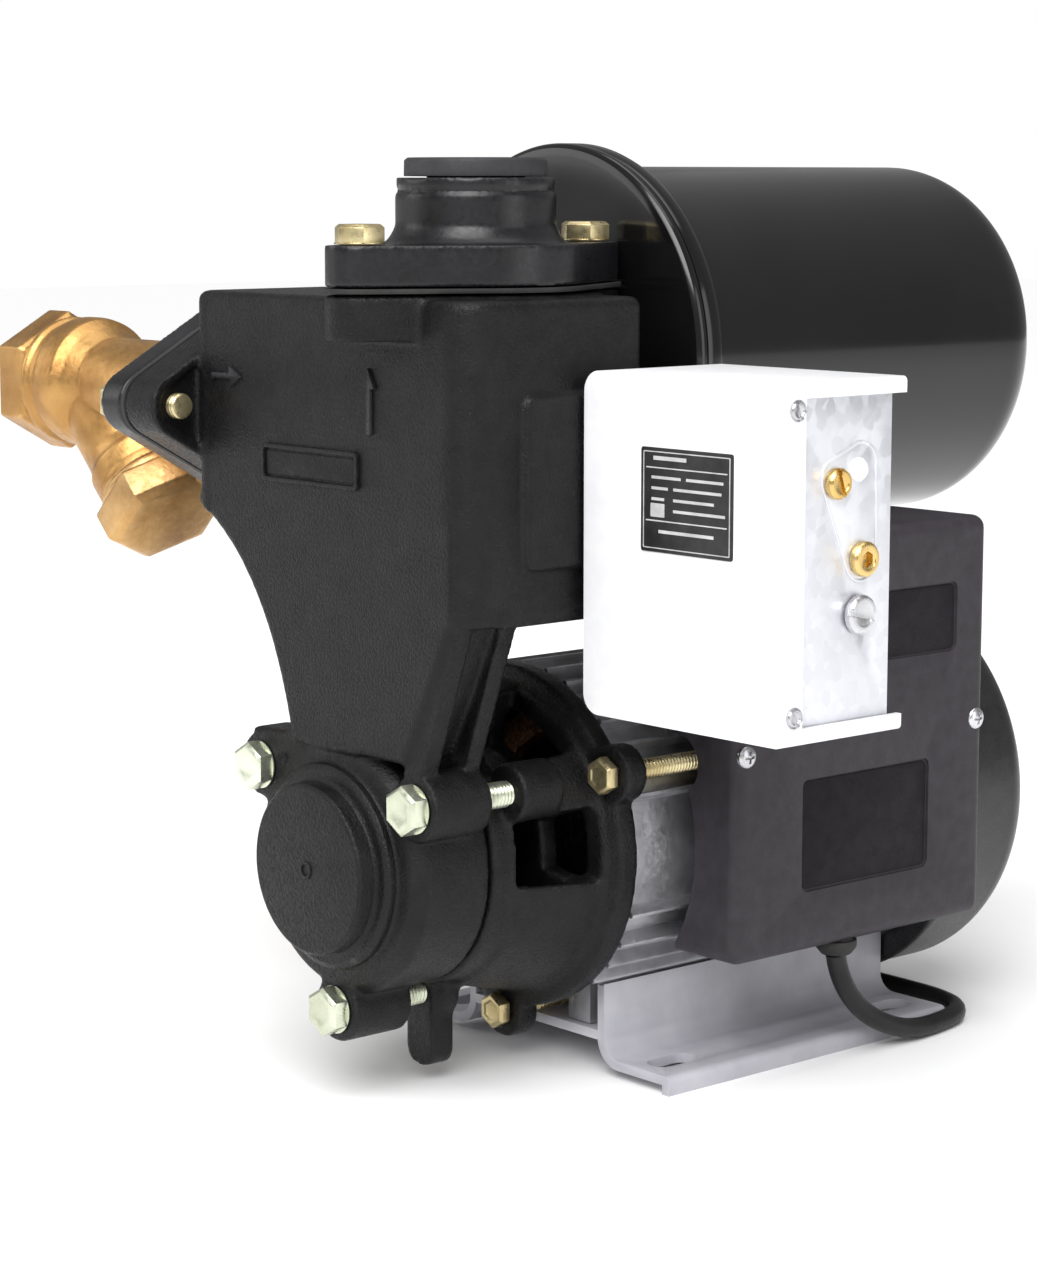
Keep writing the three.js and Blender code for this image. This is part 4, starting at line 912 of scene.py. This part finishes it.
# ------------------------------------------------------------------ flanges and strainer
def flanges():
    suction, delivery = (0, CHAMBER_Y, SUCTION_Z), (DELIVERY_X, CHAMBER_Y, 0)
    x0, x1 = span("suction_flange", "X")
    plate = prism(oval(CHAMBER_Y, SUCTION_Z, -0.1), x0 + 0.1, x1 - 0.1, "X")
    casting("suction_flange_cast", [plate], FLANGE_PAINT, ("suction_flange",), 0.9, 4,
            [bar(17.2, x0 - 2, x1 + 2, "X", suction)])
    x0, x1 = span("suction_gasket", "X")
    piece("suction_gasket_sheet", [prism(oval(CHAMBER_Y, SUCTION_Z), x0, x1, "X")], RUBBER,
          stands_for=("suction_gasket",), bevel=0.2, cut=[bar(PORT_R, x0 - 2, x1 + 2, "X", suction)])

    z0, z1 = span("delivery_flange", "Z")
    boss = lathe([
        (0, z0 + 2), (27, z0 + 2), (27, z0 + 11.4), (25, z0 + 13.2), (23.2, z0 + 16.5),
        (23.2, z1 - 4.6), (22.2, z1 - 4.2), (22.2, z1 - 3.2), (22.8, z1 - 2.8), (22.8, z1), (0, z1),
    ], 96, "Z", delivery)
    plate = prism(oval(DELIVERY_X, CHAMBER_Y, -0.2, True), z0 + 0.1, z0 + 11.6, "Z")
    casting("delivery_flange_cast", [plate, boss], FLANGE_PAINT, ("delivery_flange",), 0.75, 4,
            [bar(PORT_R, z0 - 2, z1 + 2, "Z", delivery)])
    z0, z1 = span("delivery_gasket", "Z")
    piece("delivery_gasket_sheet", [prism(oval(DELIVERY_X, CHAMBER_Y, 0.8, True), z0, z1, "Z")], RUBBER,
          stands_for=("delivery_gasket",), bevel=0.25,
          cut=[bar(PORT_R, z0 - 2, z1 + 2, "Z", delivery)])

    top = span("delivery_plug", "Z")[1]
    cap = lathe([
        (0, top - 0.5), (14, top - 0.5), (16.5, top - 0.2), (19.6, top - 0.1), (20.6, top - 0.9),
        (20.7, top - 5.4), (14.1, top - 5.5), (13.6, top - 17.4), (11.7, top - 17.4), (12, top - 3),
        (0, top - 3),
    ], 96, "Z", delivery)
    piece("transport_cap", [cap], CAP_PLASTIC, "transport_plug", ("delivery_plug",), 0.2)


CROSSING = (-172.0, CHAMBER_Y, SUCTION_Z)
BRANCH = (1, 0, -1)
BRANCH_END = 45.0


def strainer():
    end = span("strainer_body", "X")[0]
    face = span("suction_flange", "X")[0] - 0.3
    line = (0, CHAMBER_Y, SUCTION_Z)
    run = lathe([
        (0, -186.6), (21.6, -186.6), (21.6, -184.5), (20.2, -183), (20.2, -180), (21.9, -178), (21.9, -172),
        (21.3, -168.5), (18.8, -166), (15.5, -160), (15.5, face - 2), (16.5, face - 1.5), (16.5, face + 7),
        (0, face + 7),
    ], 96, "X", line)
    nut = lathe([(0, end + 0.1), (20.6, end + 0.1), (23.6, end + 2), (23.6, -188.7), (21, -186.6),
                 (0, -186.6)], 6, "X", line)
    branch = aimed(lathe([(0, 0), (16.2, 0), (16.2, 31), (16.8, 34), (17.7, 35.6), (17.7, 41), (17.2, 41.6),
                          (17.7, 42.2), (17.7, 44.9), (0, 44.9)], 96, "Z"), CROSSING, BRANCH)
    bore = [
        bar(12.5, end - 2, face + 10, "X", line), bar(16.2, end - 2, -192, "X", line),
        aimed(bar(13.2, 8, 46, "Z"), CROSSING, BRANCH),
    ]
    body = mesh_object("strainer_body_cast", [run, nut, branch])
    melt(body, 0.62, 2)
    for tool in bore:
        cut_away(body, [tool])
    finish_piece(body, BRASS, "frame", ("strainer_body",), 0.0, 40)

    lid = BRANCH_END + 0.4
    hexagon = 38 / math.sqrt(3)
    cap = [
        lathe([(12.7, lid - 8), (12.7, lid), (18.5, lid), (18.5, lid + 2.6), (0, lid + 2.6), (0, lid + 1.6),
               (10.1, lid + 1.6), (10.1, lid - 8)], 64, "Z"),
        lathe([(0, lid + 2.2), (hexagon * 0.96, lid + 2.2), (hexagon - 0.1, lid + 3.1),
               (hexagon - 0.1, lid + 13), (hexagon - 2.6, lid + 15.6), (hexagon - 6, lid + 16.4),
               (0, lid + 16.4)], 6, "Z"),
    ]
    piece("strainer_cap_hex", [aimed(p, CROSSING, BRANCH) for p in cap], BRASS,
          "strainer_cap", ("strainer_cap",), 0.5)
    basket()


def basket():
    """Woven wire basket, closed by a rim at each end."""
    levels, wires = 15, 40
    rows = [(11.4, 10.4 + i * 1.85) for i in range(levels)]
    verts, faces = lathe(rows + [(10.6, 36.3), (10.6, 10.4)], wires, "Z")
    outside = levels * wires
    walls = [face for face in faces if all(v < outside for v in face)]
    mesh = mesh_object("strainer_basket_mesh", [aimed((verts[:outside], walls), CROSSING, BRANCH)])
    change = mesh.modifiers.new("wires", "WIREFRAME")
    change.thickness = 0.45 * MM
    change.use_even_offset = False
    settle(mesh)
    finish_piece(mesh, STEEL, "strainer_cap", ("strainer_basket",), 0.0, 60)
    ends = [lathe([(10.5, t), (11.5, t), (11.5, t + 1.2), (10.5, t + 1.2)], 64, "Z") for t in (10.1, 35.4)]
    piece("strainer_basket_rims", [aimed(p, CROSSING, BRANCH) for p in ends], STEEL,
          "strainer_cap")


# ------------------------------------------------------------------ motor
FIN_ANGLES = (20, 38, 48, 58, 68, 78, 90, 102, 112, 122, 132, 142, 160,
              200, 212, 222, 232, 308, 318, 328, 340)


def motor():
    body_r, fin_r = 49.4, 53.8
    outline = []
    for i, angle in enumerate(FIN_ANGLES):
        outline += arc(0, 0, body_r, angle - 1.5, angle - 1.3, 1)
        outline += arc(0, 0, fin_r - 0.7, angle - 0.95, angle - 0.95, 1)[:1]
        outline += arc(0, 0, fin_r, angle - 0.55, angle + 0.55, 2)
        outline += arc(0, 0, fin_r - 0.7, angle + 0.95, angle + 0.95, 1)[:1]
        after = FIN_ANGLES[(i + 1) % len(FIN_ANGLES)] + (360 if i + 1 == len(FIN_ANGLES) else 0)
        outline += arc(0, 0, body_r, angle + 1.3, after - 1.7, max(2, int((after - angle) / 3)))
    start, end = 84.4, 207.9
    tube = prism(outline, start, end, "Y")
    feet = [block(side * 18 - 5, side * 18 + 5, start + 8, end - 8, -58.6, -46) for side in (-1, 1)]
    piece("motor_housing_finned", [tube, *feet], ALUMINIUM, stands_for=("motor_housing",),
          cut=[bar(45, start - 2, end + 2, "Y", sides=96)], sharp=30)

    back = 208.3
    shield = lathe([(10.1, 196.6), (22.4, 196.6), (22.4, 205), (44.6, 205), (44.6, back), (53.8, back),
                    (53.8, back + 5.6), (52.8, back + 6.2), (20, back + 6.9), (10.1, back + 6.9)], 96)
    lugs = [bar(7.9, back + 0.1, back + 5.8, "Y", (x, 0, z))
            for x, z in (on_circle(TIE_CIRCLE, angle) for angle in TIE_ANGLES.values())]
    piece("rear_end_shield_cast", [shield, *lugs], ALUMINIUM,
          stands_for=("rear_end_shield",), bevel=0.3)
    fan_cover()
    wiring_cover()


def fan_cover():
    low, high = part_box("fan_cover")
    y0, y1 = span("fan_cover", "Y")
    r = (high.x - low.x) / 2 / MM
    profile = [(r - 7.8, y0), (r - 2.6, y0), (r - 0.6, y0 + 0.7), (r - 0.1, y0 + 2.4), (r - 0.1, y0 + 4),
               (r - 0.7, y0 + 4.6)]
    profile += [(r - 10.7 + a, y1 - 10.1 + b) for a, b in arc(0, 0, 10, 0, 90, 12)]
    profile += [(30, y1 - 0.1), (29.4, y1 - 0.6), (28.4, y1 - 0.6), (27.8, y1 - 0.1), (0, y1 - 0.1),
                (0, y1 - 1.9)]
    profile += [(r - 10.7 + a, y1 - 10.1 + b) for a, b in arc(0, 0, 8.2, 90, 0, 12)]
    profile += [(r - 2.5, y0 + 2.4), (r - 7.8, y0 + 1.7)]
    slots = []
    for count, start, end in ((24, 33, 50), (12, 11, 25)):
        slot = prism(rounded(start, end, -1.6, 1.6, 1.55, 4), y1 - 5, y1 + 3, "Y")
        slots += [about_y(slot, i * 360 / count) for i in range(count)]
    piece("fan_cover_shell", [lathe(profile, 144)], FAN_PLASTIC, stands_for=("fan_cover",),
          cut=slots, bevel=0.25)


def soft_box(name, x0, x1, y0, y1, z0, z1, radius):
    """A box whose edges round the +X face are rounded off."""
    obj = mesh_object(name, [block(x0, x1, y0, y1, z0, z1)])
    shape = bmesh.new()
    shape.from_mesh(obj.data)
    limit = at(x1, 0, 0).x
    edges = [e for e in shape.edges if any(abs(v.co.x - limit) < 1e-6 for v in e.verts)]
    bmesh.ops.bevel(shape, geom=edges, offset=radius * MM, segments=6, profile=0.5, affect="EDGES",
                    clamp_overlap=True)
    shape.to_mesh(obj.data)
    shape.free()
    return obj


def wiring_cover():
    (x0, x1), (y0, y1), (z0, z1) = (span("motor_cover", axis) for axis in "XYZ")
    tie_x, tie_z = on_circle(TIE_CIRCLE, TIE_ANGLES["right"])
    wall = 2.5
    obj = soft_box("wiring_cover_shell", x0, x1 - 0.1, y0, y1, z0, z1, 4.2)
    panels = [(132, 189, -14, 21), (132, 201, 54, 76)]
    tools = [
        block(x0 - 5, x1 - wall, y0 + wall, y1 - wall, z0 + wall, z1 - wall),
        bar(57, y0 - 2, y1 + 2, "Y", sides=128),
        bar(9, y0 - 2, y1 + 2, "Y", (tie_x, 0, tie_z)),
        bar(5.6, z0 - 2, z0 + 5, "Z", (CORD_X, CORD_Y, 0)),
    ]
    tools += [prism(rounded(a0, a1, b0, b1, 2.5), x1 - 1.0, x1 + 2, "X") for a0, a1, b0, b1 in panels]
    for tool in tools:
        cut_away(obj, [tool])
    finish_piece(obj, COVER, "frame", ("motor_cover",), 0.3, 35)
    plates = [prism(rounded(a0 + 0.7, a1 - 0.7, b0 + 0.7, b1 - 0.7, 2), x1 - 1.3, x1 - 0.75, "X")
              for a0, a1, b0, b1 in panels]
    piece("cover_recess_panels", plates, RECESS, bevel=0.15)

    for name, y in (("front", 108.0), ("rear", 211.0)):
        cross_screw(f"cover_screw_{name}", (x1 - 0.4, y, 31.0))

    top = span("cable_grommet", "Z")[1]
    sleeve = lathe([
        (3.6, z0 - 5), (4.6, z0 - 5), (5.0, z0 - 4.6), (6.3, z0 - 2.9), (6.55, z0 - 2.3), (6.55, z0 - 0.35),
        (5.2, z0 - 0.3), (5.2, z0 + 2.2), (4.6, z0 + 3), (4.3, top), (3.6, top),
    ], 48, "Z", (CORD_X, CORD_Y, 0))
    piece("cord_grommet_sleeve", [sleeve], RUBBER, stands_for=("cable_grommet",), bevel=0.15)


def cross_screw(name, place):
    """Pan head with a cross recess, on a face that looks along +X."""
    curve = [math.pi / 2 * i / 8 for i in range(1, 8)]
    dome = [(0, -1.0), (3.4, -1.0), (3.5, 0.2)]
    dome += [(3.5 * math.cos(t), 0.2 + 1.5 * math.sin(t)) for t in curve] + [(0, 1.7)]
    tools = [
        aimed(block(-0.45, 0.45, -1.9, 1.9, 0.5, 3), place, (1, 0, 0)),
        aimed(block(-1.9, 1.9, -0.45, 0.45, 0.5, 3), place, (1, 0, 0)),
    ]
    obj = mesh_object(name, [aimed(lathe(dome, 48, "Z"), place, (1, 0, 0))])
    for tool in tools:
        cut_away(obj, [tool])
    finish_piece(obj, STEEL, "frame", (), 0.08, 35)


def base():
    y0, y1 = span("base_bracket", "Y")
    floor, foot, sheet = FLOOR_Z, FLOOR_Z + 6, 3.0
    up, lip, top, web = 32.0, 61.0, -44.5, -59.0

    def side(s):
        outer = [(lip, floor)] + [(lip - 2.2 + a, foot - 2.2 + b) for a, b in arc(0, 0, 2.2, 0, 90, 6)]
        outer += [(up + 6 + a, foot + 6 + b) for a, b in arc(0, 0, 6, 270, 180, 8)]
        outer += [(up, top + 0.6), (up - 0.6, top), (up - sheet + 0.6, top), (up - sheet, top + 0.6),
                  (up - sheet, web)]
        return [(s * a, b) for a, b in outer]

    def under(s):
        inner = [(up - sheet, web - sheet)]
        inner += [(up + 6 + a, foot + 6 + b) for a, b in arc(0, 0, 9, 180, 270, 8)]
        inner += [(lip - sheet, foot - sheet), (lip - sheet, floor)]
        return [(s * a, b) for a, b in inner]

    outline = side(1) + side(-1)[::-1] + under(-1)[::-1] + under(1)
    tools = [block(-10, 10, 206, y1 + 2, web - sheet - 1, web + 1)]
    for s in (-1, 1):
        for y in (y0 + 14, y1 - 14):
            slot = rounded(s * 48 - 4.5, s * 48 + 4.5, y - 9, y + 9, 4.45)
            tools.append(prism(slot, floor - 1, foot + 2, "Z"))
        tools.append(block(s * 31 - 5, s * 31 + 5, y1 - 20, y1 + 2, top - 3, top + 2))
    obj = mesh_object("base_bracket_sheet", [prism(outline, y0, y1, "Y")])
    for tool in tools:
        cut_away(obj, [tool])
    finish_piece(obj, GREY, "frame", ("base_bracket",), 0.35, 35)


# ------------------------------------------------------------------ pressure tank
def tank():
    middle = (0, 0, TANK_Z)
    r, rim_r, front, back = 56.9, 63.9, 101.0, 270.9
    shell = [(rim_r - 7, front), (rim_r - 1.6, front), (rim_r - 0.4, front + 0.6), (rim_r, front + 1.8)]
    shell += [(rim_r, front + 5), (rim_r - 0.6, front + 6.6), (rim_r - 2.2, front + 7.6),
              (r + 2.4, front + 8.4)]
    shell += [(r + 0.6, front + 9.6), (r, front + 12), (r, 246)]
    shoulder = [math.pi / 2 * i / 14 * 0.86 for i in range(1, 15)]
    shell += [(r - 17 + 17 * math.cos(t), 247 + 17.5 * math.sin(t)) for t in shoulder]
    shell += [(36, 268.2), (26, 269.7), (14, 270.7), (0, back)]
    inner = [(0, back - 1.6), (26, back - 2.9), (36, back - 4.4), (46, 262), (r - 4, 255), (r - 1.6, 247)]
    inner += [(r - 1.6, front + 9), (rim_r - 7, front + 6)]
    piece("tank_shell_drawn", [lathe(shell + inner, 192, "Y", middle)], ENAMEL,
          stands_for=("tank_shell",), cut=[bar(4.4, 260, 280, "Y", middle)], sharp=40)
    plate = [(8, 92), (14.6, 92), (15, 96.4), (16.5, 97.3), (40, 97.3), (52, 97.6), (60, 97.5), (62.4, 97.7),
             (63.6, 98.6), (63.9, 99.6), (63.9, 100.7), (54, 100.7), (50, 99.3), (8, 99.3)]
    piece("tank_end_plate_pressed", [lathe(plate, 192, "Y", middle)], ENAMEL,
          stands_for=("tank_end_plate",), bevel=0.2, sharp=40)
    nipple = [
        lathe([(6, 75.6), (10.9, 75.6), (10.9, 79), (7.6, 79), (7.6, 97.9), (6, 97.9)], 64, "Y", middle),
        lathe([(7, 79), (12.2, 79), (12.6, 80), (12.6, 90), (12.2, 91), (7, 91)], 6, "Y", middle),
    ]
    piece("tank_nipple_hex", nipple, STEEL, stands_for=("tank_nipple",), bevel=0.2)
    end = span("air_valve", "Y")[1]
    stem = lathe([(0, 262), (3.95, 262), (3.95, 271.3), (6.9, 271.4), (6.9, 273), (4, 273.4), (3.9, end - 8),
                  (0, end - 8)], 48, "Y", middle)
    ridges = []
    for i in range(24):
        ridges += arc(0, 0, 3.95 if i % 2 else 3.55, i * 15 - 3, i * 15 + 3, 1)
    cap = prism([(a, TANK_Z + b) for a, b in ridges], 274, end - 0.2, "Y")
    piece("air_valve_stem", [stem], SCREW_BRASS, stands_for=("air_valve",), bevel=0.15)
    piece("air_valve_cap", [cap], CAP_PLASTIC, bevel=0.2)


# ------------------------------------------------------------------ pressure switch
def switch():
    (x0, x1), (y0, y1), (z0, z1) = (span("switch_cover", axis) for axis in "XYZ")
    wall = 2.0
    outline = rounded(x0, x1, z0, z1, (6, 1.4, 1.4, 6), 8)
    obj = mesh_object("switch_cover_shell", [prism(outline, y0, y1, "Y")])
    for tool in (
        block(x0 + wall, x1 - wall, y0 + wall, y1 + 2, z0 + wall, z1 - wall),
        block(x0 - 2, x1 + 2, y0 + 9, y1 + 2, z0 + 4.5, z1 - 4.5),
    ):
        cut_away(obj, [tool])
    finish_piece(obj, WHITE, "frame", ("switch_cover",), 0.7, 35)

    (fx0, fx1), (fy0, fy1), (fz0, fz1) = (span("switch_frame", axis) for axis in "XYZ")
    obj = mesh_object("switch_frame_sheet", [block(fx0, fx1, fy0, fy1, fz0, fz1)])
    for tool in (
        block(fx0 + 1.5, fx1 - 1.5, fy0 - 2, fy1 - 1.5, fz0 - 1, fz1 + 1),
        bar(6.9, fx0 - 1, fx0 + 2, "X", (0, 67, 101)),
        bar(3, fx1 - 3, fx1 + 1, "X", (0, 72.5, 120)),
        bar(3.4, fx1 - 3, fx1 + 1, "X", (0, 83.3, 98.7)),
        bar(4, fx1 - 3, fx1 + 1, "X", (0, 82, 83.6)),
    ):
        cut_away(obj, [tool])
    finish_piece(obj, SHEET, "frame", ("switch_frame",), 0.25, 35)

    # raised edge of the adjuster plate, round both adjusting screws
    def wrapped(grow):
        return (arc(83.3, 98.7, 6.6 + grow, 200, 350, 10) + arc(82.6, 124.5, 6.6 + grow, -10, 100, 10)
                + arc(73.2, 121, 6.2 + grow, 110, 200, 10))
    edge = rim(wrapped(0), wrapped(-0.9), fx1 - 0.3, fx1 + 0.45, "X")
    piece("adjuster_plate_edge", [edge], SHEET, bevel=0.2)
    plate = prism(wrapped(-0.6), fx1 - 0.2, fx1 + 0.12, "X")
    piece("adjuster_plate", [plate], SHEET, bevel=0.05)
    bead = lathe([(0, 0), (3.3, 0), (3.3, 0.6), (2.6, 1.5), (1.4, 1.8), (0, 1.9)], 40, "Z")
    piece("adjuster_seal", [aimed(bead, (fx1, 81.6, 123.2), (1, 0, 0))], WHITE)

    slotted("range_screw_slotted", (fx1, 72.5, 120), 4.3, 2.6, SCREW_BRASS, "range_adjuster",
            "range_screw", socket=False)
    slotted("differential_screw_socket", (fx1, 83.3, 98.7), 4.9, 3.0, SCREW_BRASS,
            "differential_adjuster", "differential_screw", socket=True)
    slotted("knockout_plug_slotted", (fx1, 82, 83.6), 5.4, 3.6, STEEL, "frame",
            "conduit_plug", socket=False, length=8, turn=78)
    for name, z in (("upper", 140.5), ("lower", 58.0)):
        slotted(f"switch_cover_screw_{name}", (x1 - 0.1, 55.5, z), 2.9, 1.6, STEEL, "frame",
                None, socket=False, length=1.5, tall=0.95)
    switch_label(y0)


def slotted(name, place, head, stem, material, body, node, socket, length=14, tall=3.1, turn=18):
    """Round-headed adjusting screw with a driver slot, or with a hexagon socket."""
    rounded_head = [(0, -length), (stem, -length), (stem, 0.32), (head - 0.3, 0.32), (head, 0.7),
                    (head, tall - 0.8), (head - 0.7, tall), (head * 0.62, tall), (head * 0.56, tall - 0.35),
                    (0, tall - 0.35)]
    obj = mesh_object(name, [aimed(lathe(rounded_head, 64, "Z"), place, (1, 0, 0))])
    if socket:
        cut_away(obj, [aimed(lathe([(0, 0.4), (2.3, 0.4), (2.3, 6), (0, 6)], 6, "Z"), place, (1, 0, 0))])
    else:
        width = head * 0.17
        slot = block(-width, width, -head - 1, head + 1, tall * 0.55, tall + 2)
        slot = turned_by(slot, Matrix.Rotation(math.radians(turn), 4, "Z"))
        cut_away(obj, [aimed(slot, place, (1, 0, 0))])
    finish_piece(obj, material, body, (node,) if node else (), 0.1, 35)


def switch_label(front):
    """A black data plate with plain bars in place of words."""
    x0, x1, z0, z1 = 90.0, 126.0, 99.0, 128.0
    plate = prism(rounded(x0, x1, z0, z1, 0.8), front - 0.35, front + 0.2, "Y")
    piece("switch_label_plate", [plate], LABEL_BLACK, bevel=0.1)
    face, back = front - 0.45, front - 0.3
    bars = [rim(rounded(x0 + 1, x1 - 1, z0 + 1, z1 - 1, 0.4),
                rounded(x0 + 1.3, x1 - 1.3, z0 + 1.3, z1 - 1.3, 0.3), face, back, "Y")]
    rows = [(0.14, 0.5, 1.1), (0.06, 0.94, 0.35), (0.12, 0.44, 0.8), (0.5, 0.9, 0.8), (0.12, 0.3, 0.8),
            (0.36, 0.88, 0.8),
            (0.12, 0.26, 0.8), (0.36, 0.8, 0.8), (0.36, 0.92, 0.8), (0.06, 0.94, 0.35), (0.2, 0.8, 0.9)]
    heights = (124.6, 122.3, 119.4, 119.4, 116.4, 116.4, 113.4, 113.4, 110.4, 107.6, 104.4)
    for (start, end, tall), z in zip(rows, heights):
        a, b = x0 + start * (x1 - x0), x0 + end * (x1 - x0)
        bars.append(prism([(a, z), (b, z), (b, z + tall), (a, z + tall)], face, back, "Y"))
    bars.append(prism(rounded(x0 + 4, x0 + 9.5, 108.8, 112.6, 0.3), face, back, "Y"))
    piece("switch_label_bars", bars, LABEL_INK)


# ------------------------------------------------------------------ inner pieces
def inner_finishes():
    finishes = {
        "casing_o_ring": RUBBER, "wear_ring": SCREW_BRASS, "check_valve_flap": RUBBER, "shaft": STEEL,
        "impeller": BRASS, "impeller_nut": SCREW_BRASS, "seal_head": STEEL, "rotor_core": CORE,
        "fan": FAN_PLASTIC, "stator_core": CORE, "winding_front": COPPER, "winding_rear": COPPER,
        "front_bearing_outer_ring": STEEL, "rear_bearing_outer_ring": STEEL, "seal_seat": CERAMIC,
        "run_capacitor": CAPACITOR, "terminal_block": WHITE,
        "tank_diaphragm": RUBBER, "switch_nipple": SCREW_BRASS, "contact_block": CAP_PLASTIC,
        "switch_lever": STEEL, "pressure_plunger": STEEL,
    }
    for name, material in finishes.items():
        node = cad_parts[name]
        node.data.materials.clear()
        node.data.materials.append(material)
        node.data.polygons.foreach_set("use_smooth", [True] * len(node.data.polygons))
        node.data.set_sharp_from_angle(angle=math.radians(34))


def bearing_insides():
    """Inner ring and balls of both bearings, turning with the shaft."""
    ball_r = 2.0
    for name in ("front", "rear"):
        y0, y1 = span(f"{name}_bearing_outer_ring", "Y")
        middle = (y0 + y1) / 2
        ring = lathe([(7.6, y0), (10, y0), (10, middle - 1.6), (9.5, middle), (10, middle + 1.6), (10, y1),
                      (7.6, y1)], 64)
        piece(f"{name}_bearing_inner_ring", [ring], STEEL, "rotor", bevel=0.15)
        balls = []
        for i in range(8):
            x, z = on_circle(11.7, i * 45)
            ball = arc(0, 0, ball_r, -90, 90, 12)
            ball[0], ball[-1] = (0, -ball_r), (0, ball_r)
            balls.append(lathe(ball, 20, "Y", (x, middle, z)))
        piece(f"{name}_bearing_balls", balls, STEEL, "rotor")


lead_set()
pump_casing()
bracket()
flanges()
bolts()
strainer()
motor()
base()
tank()
switch()
inner_finishes()
bearing_insides()
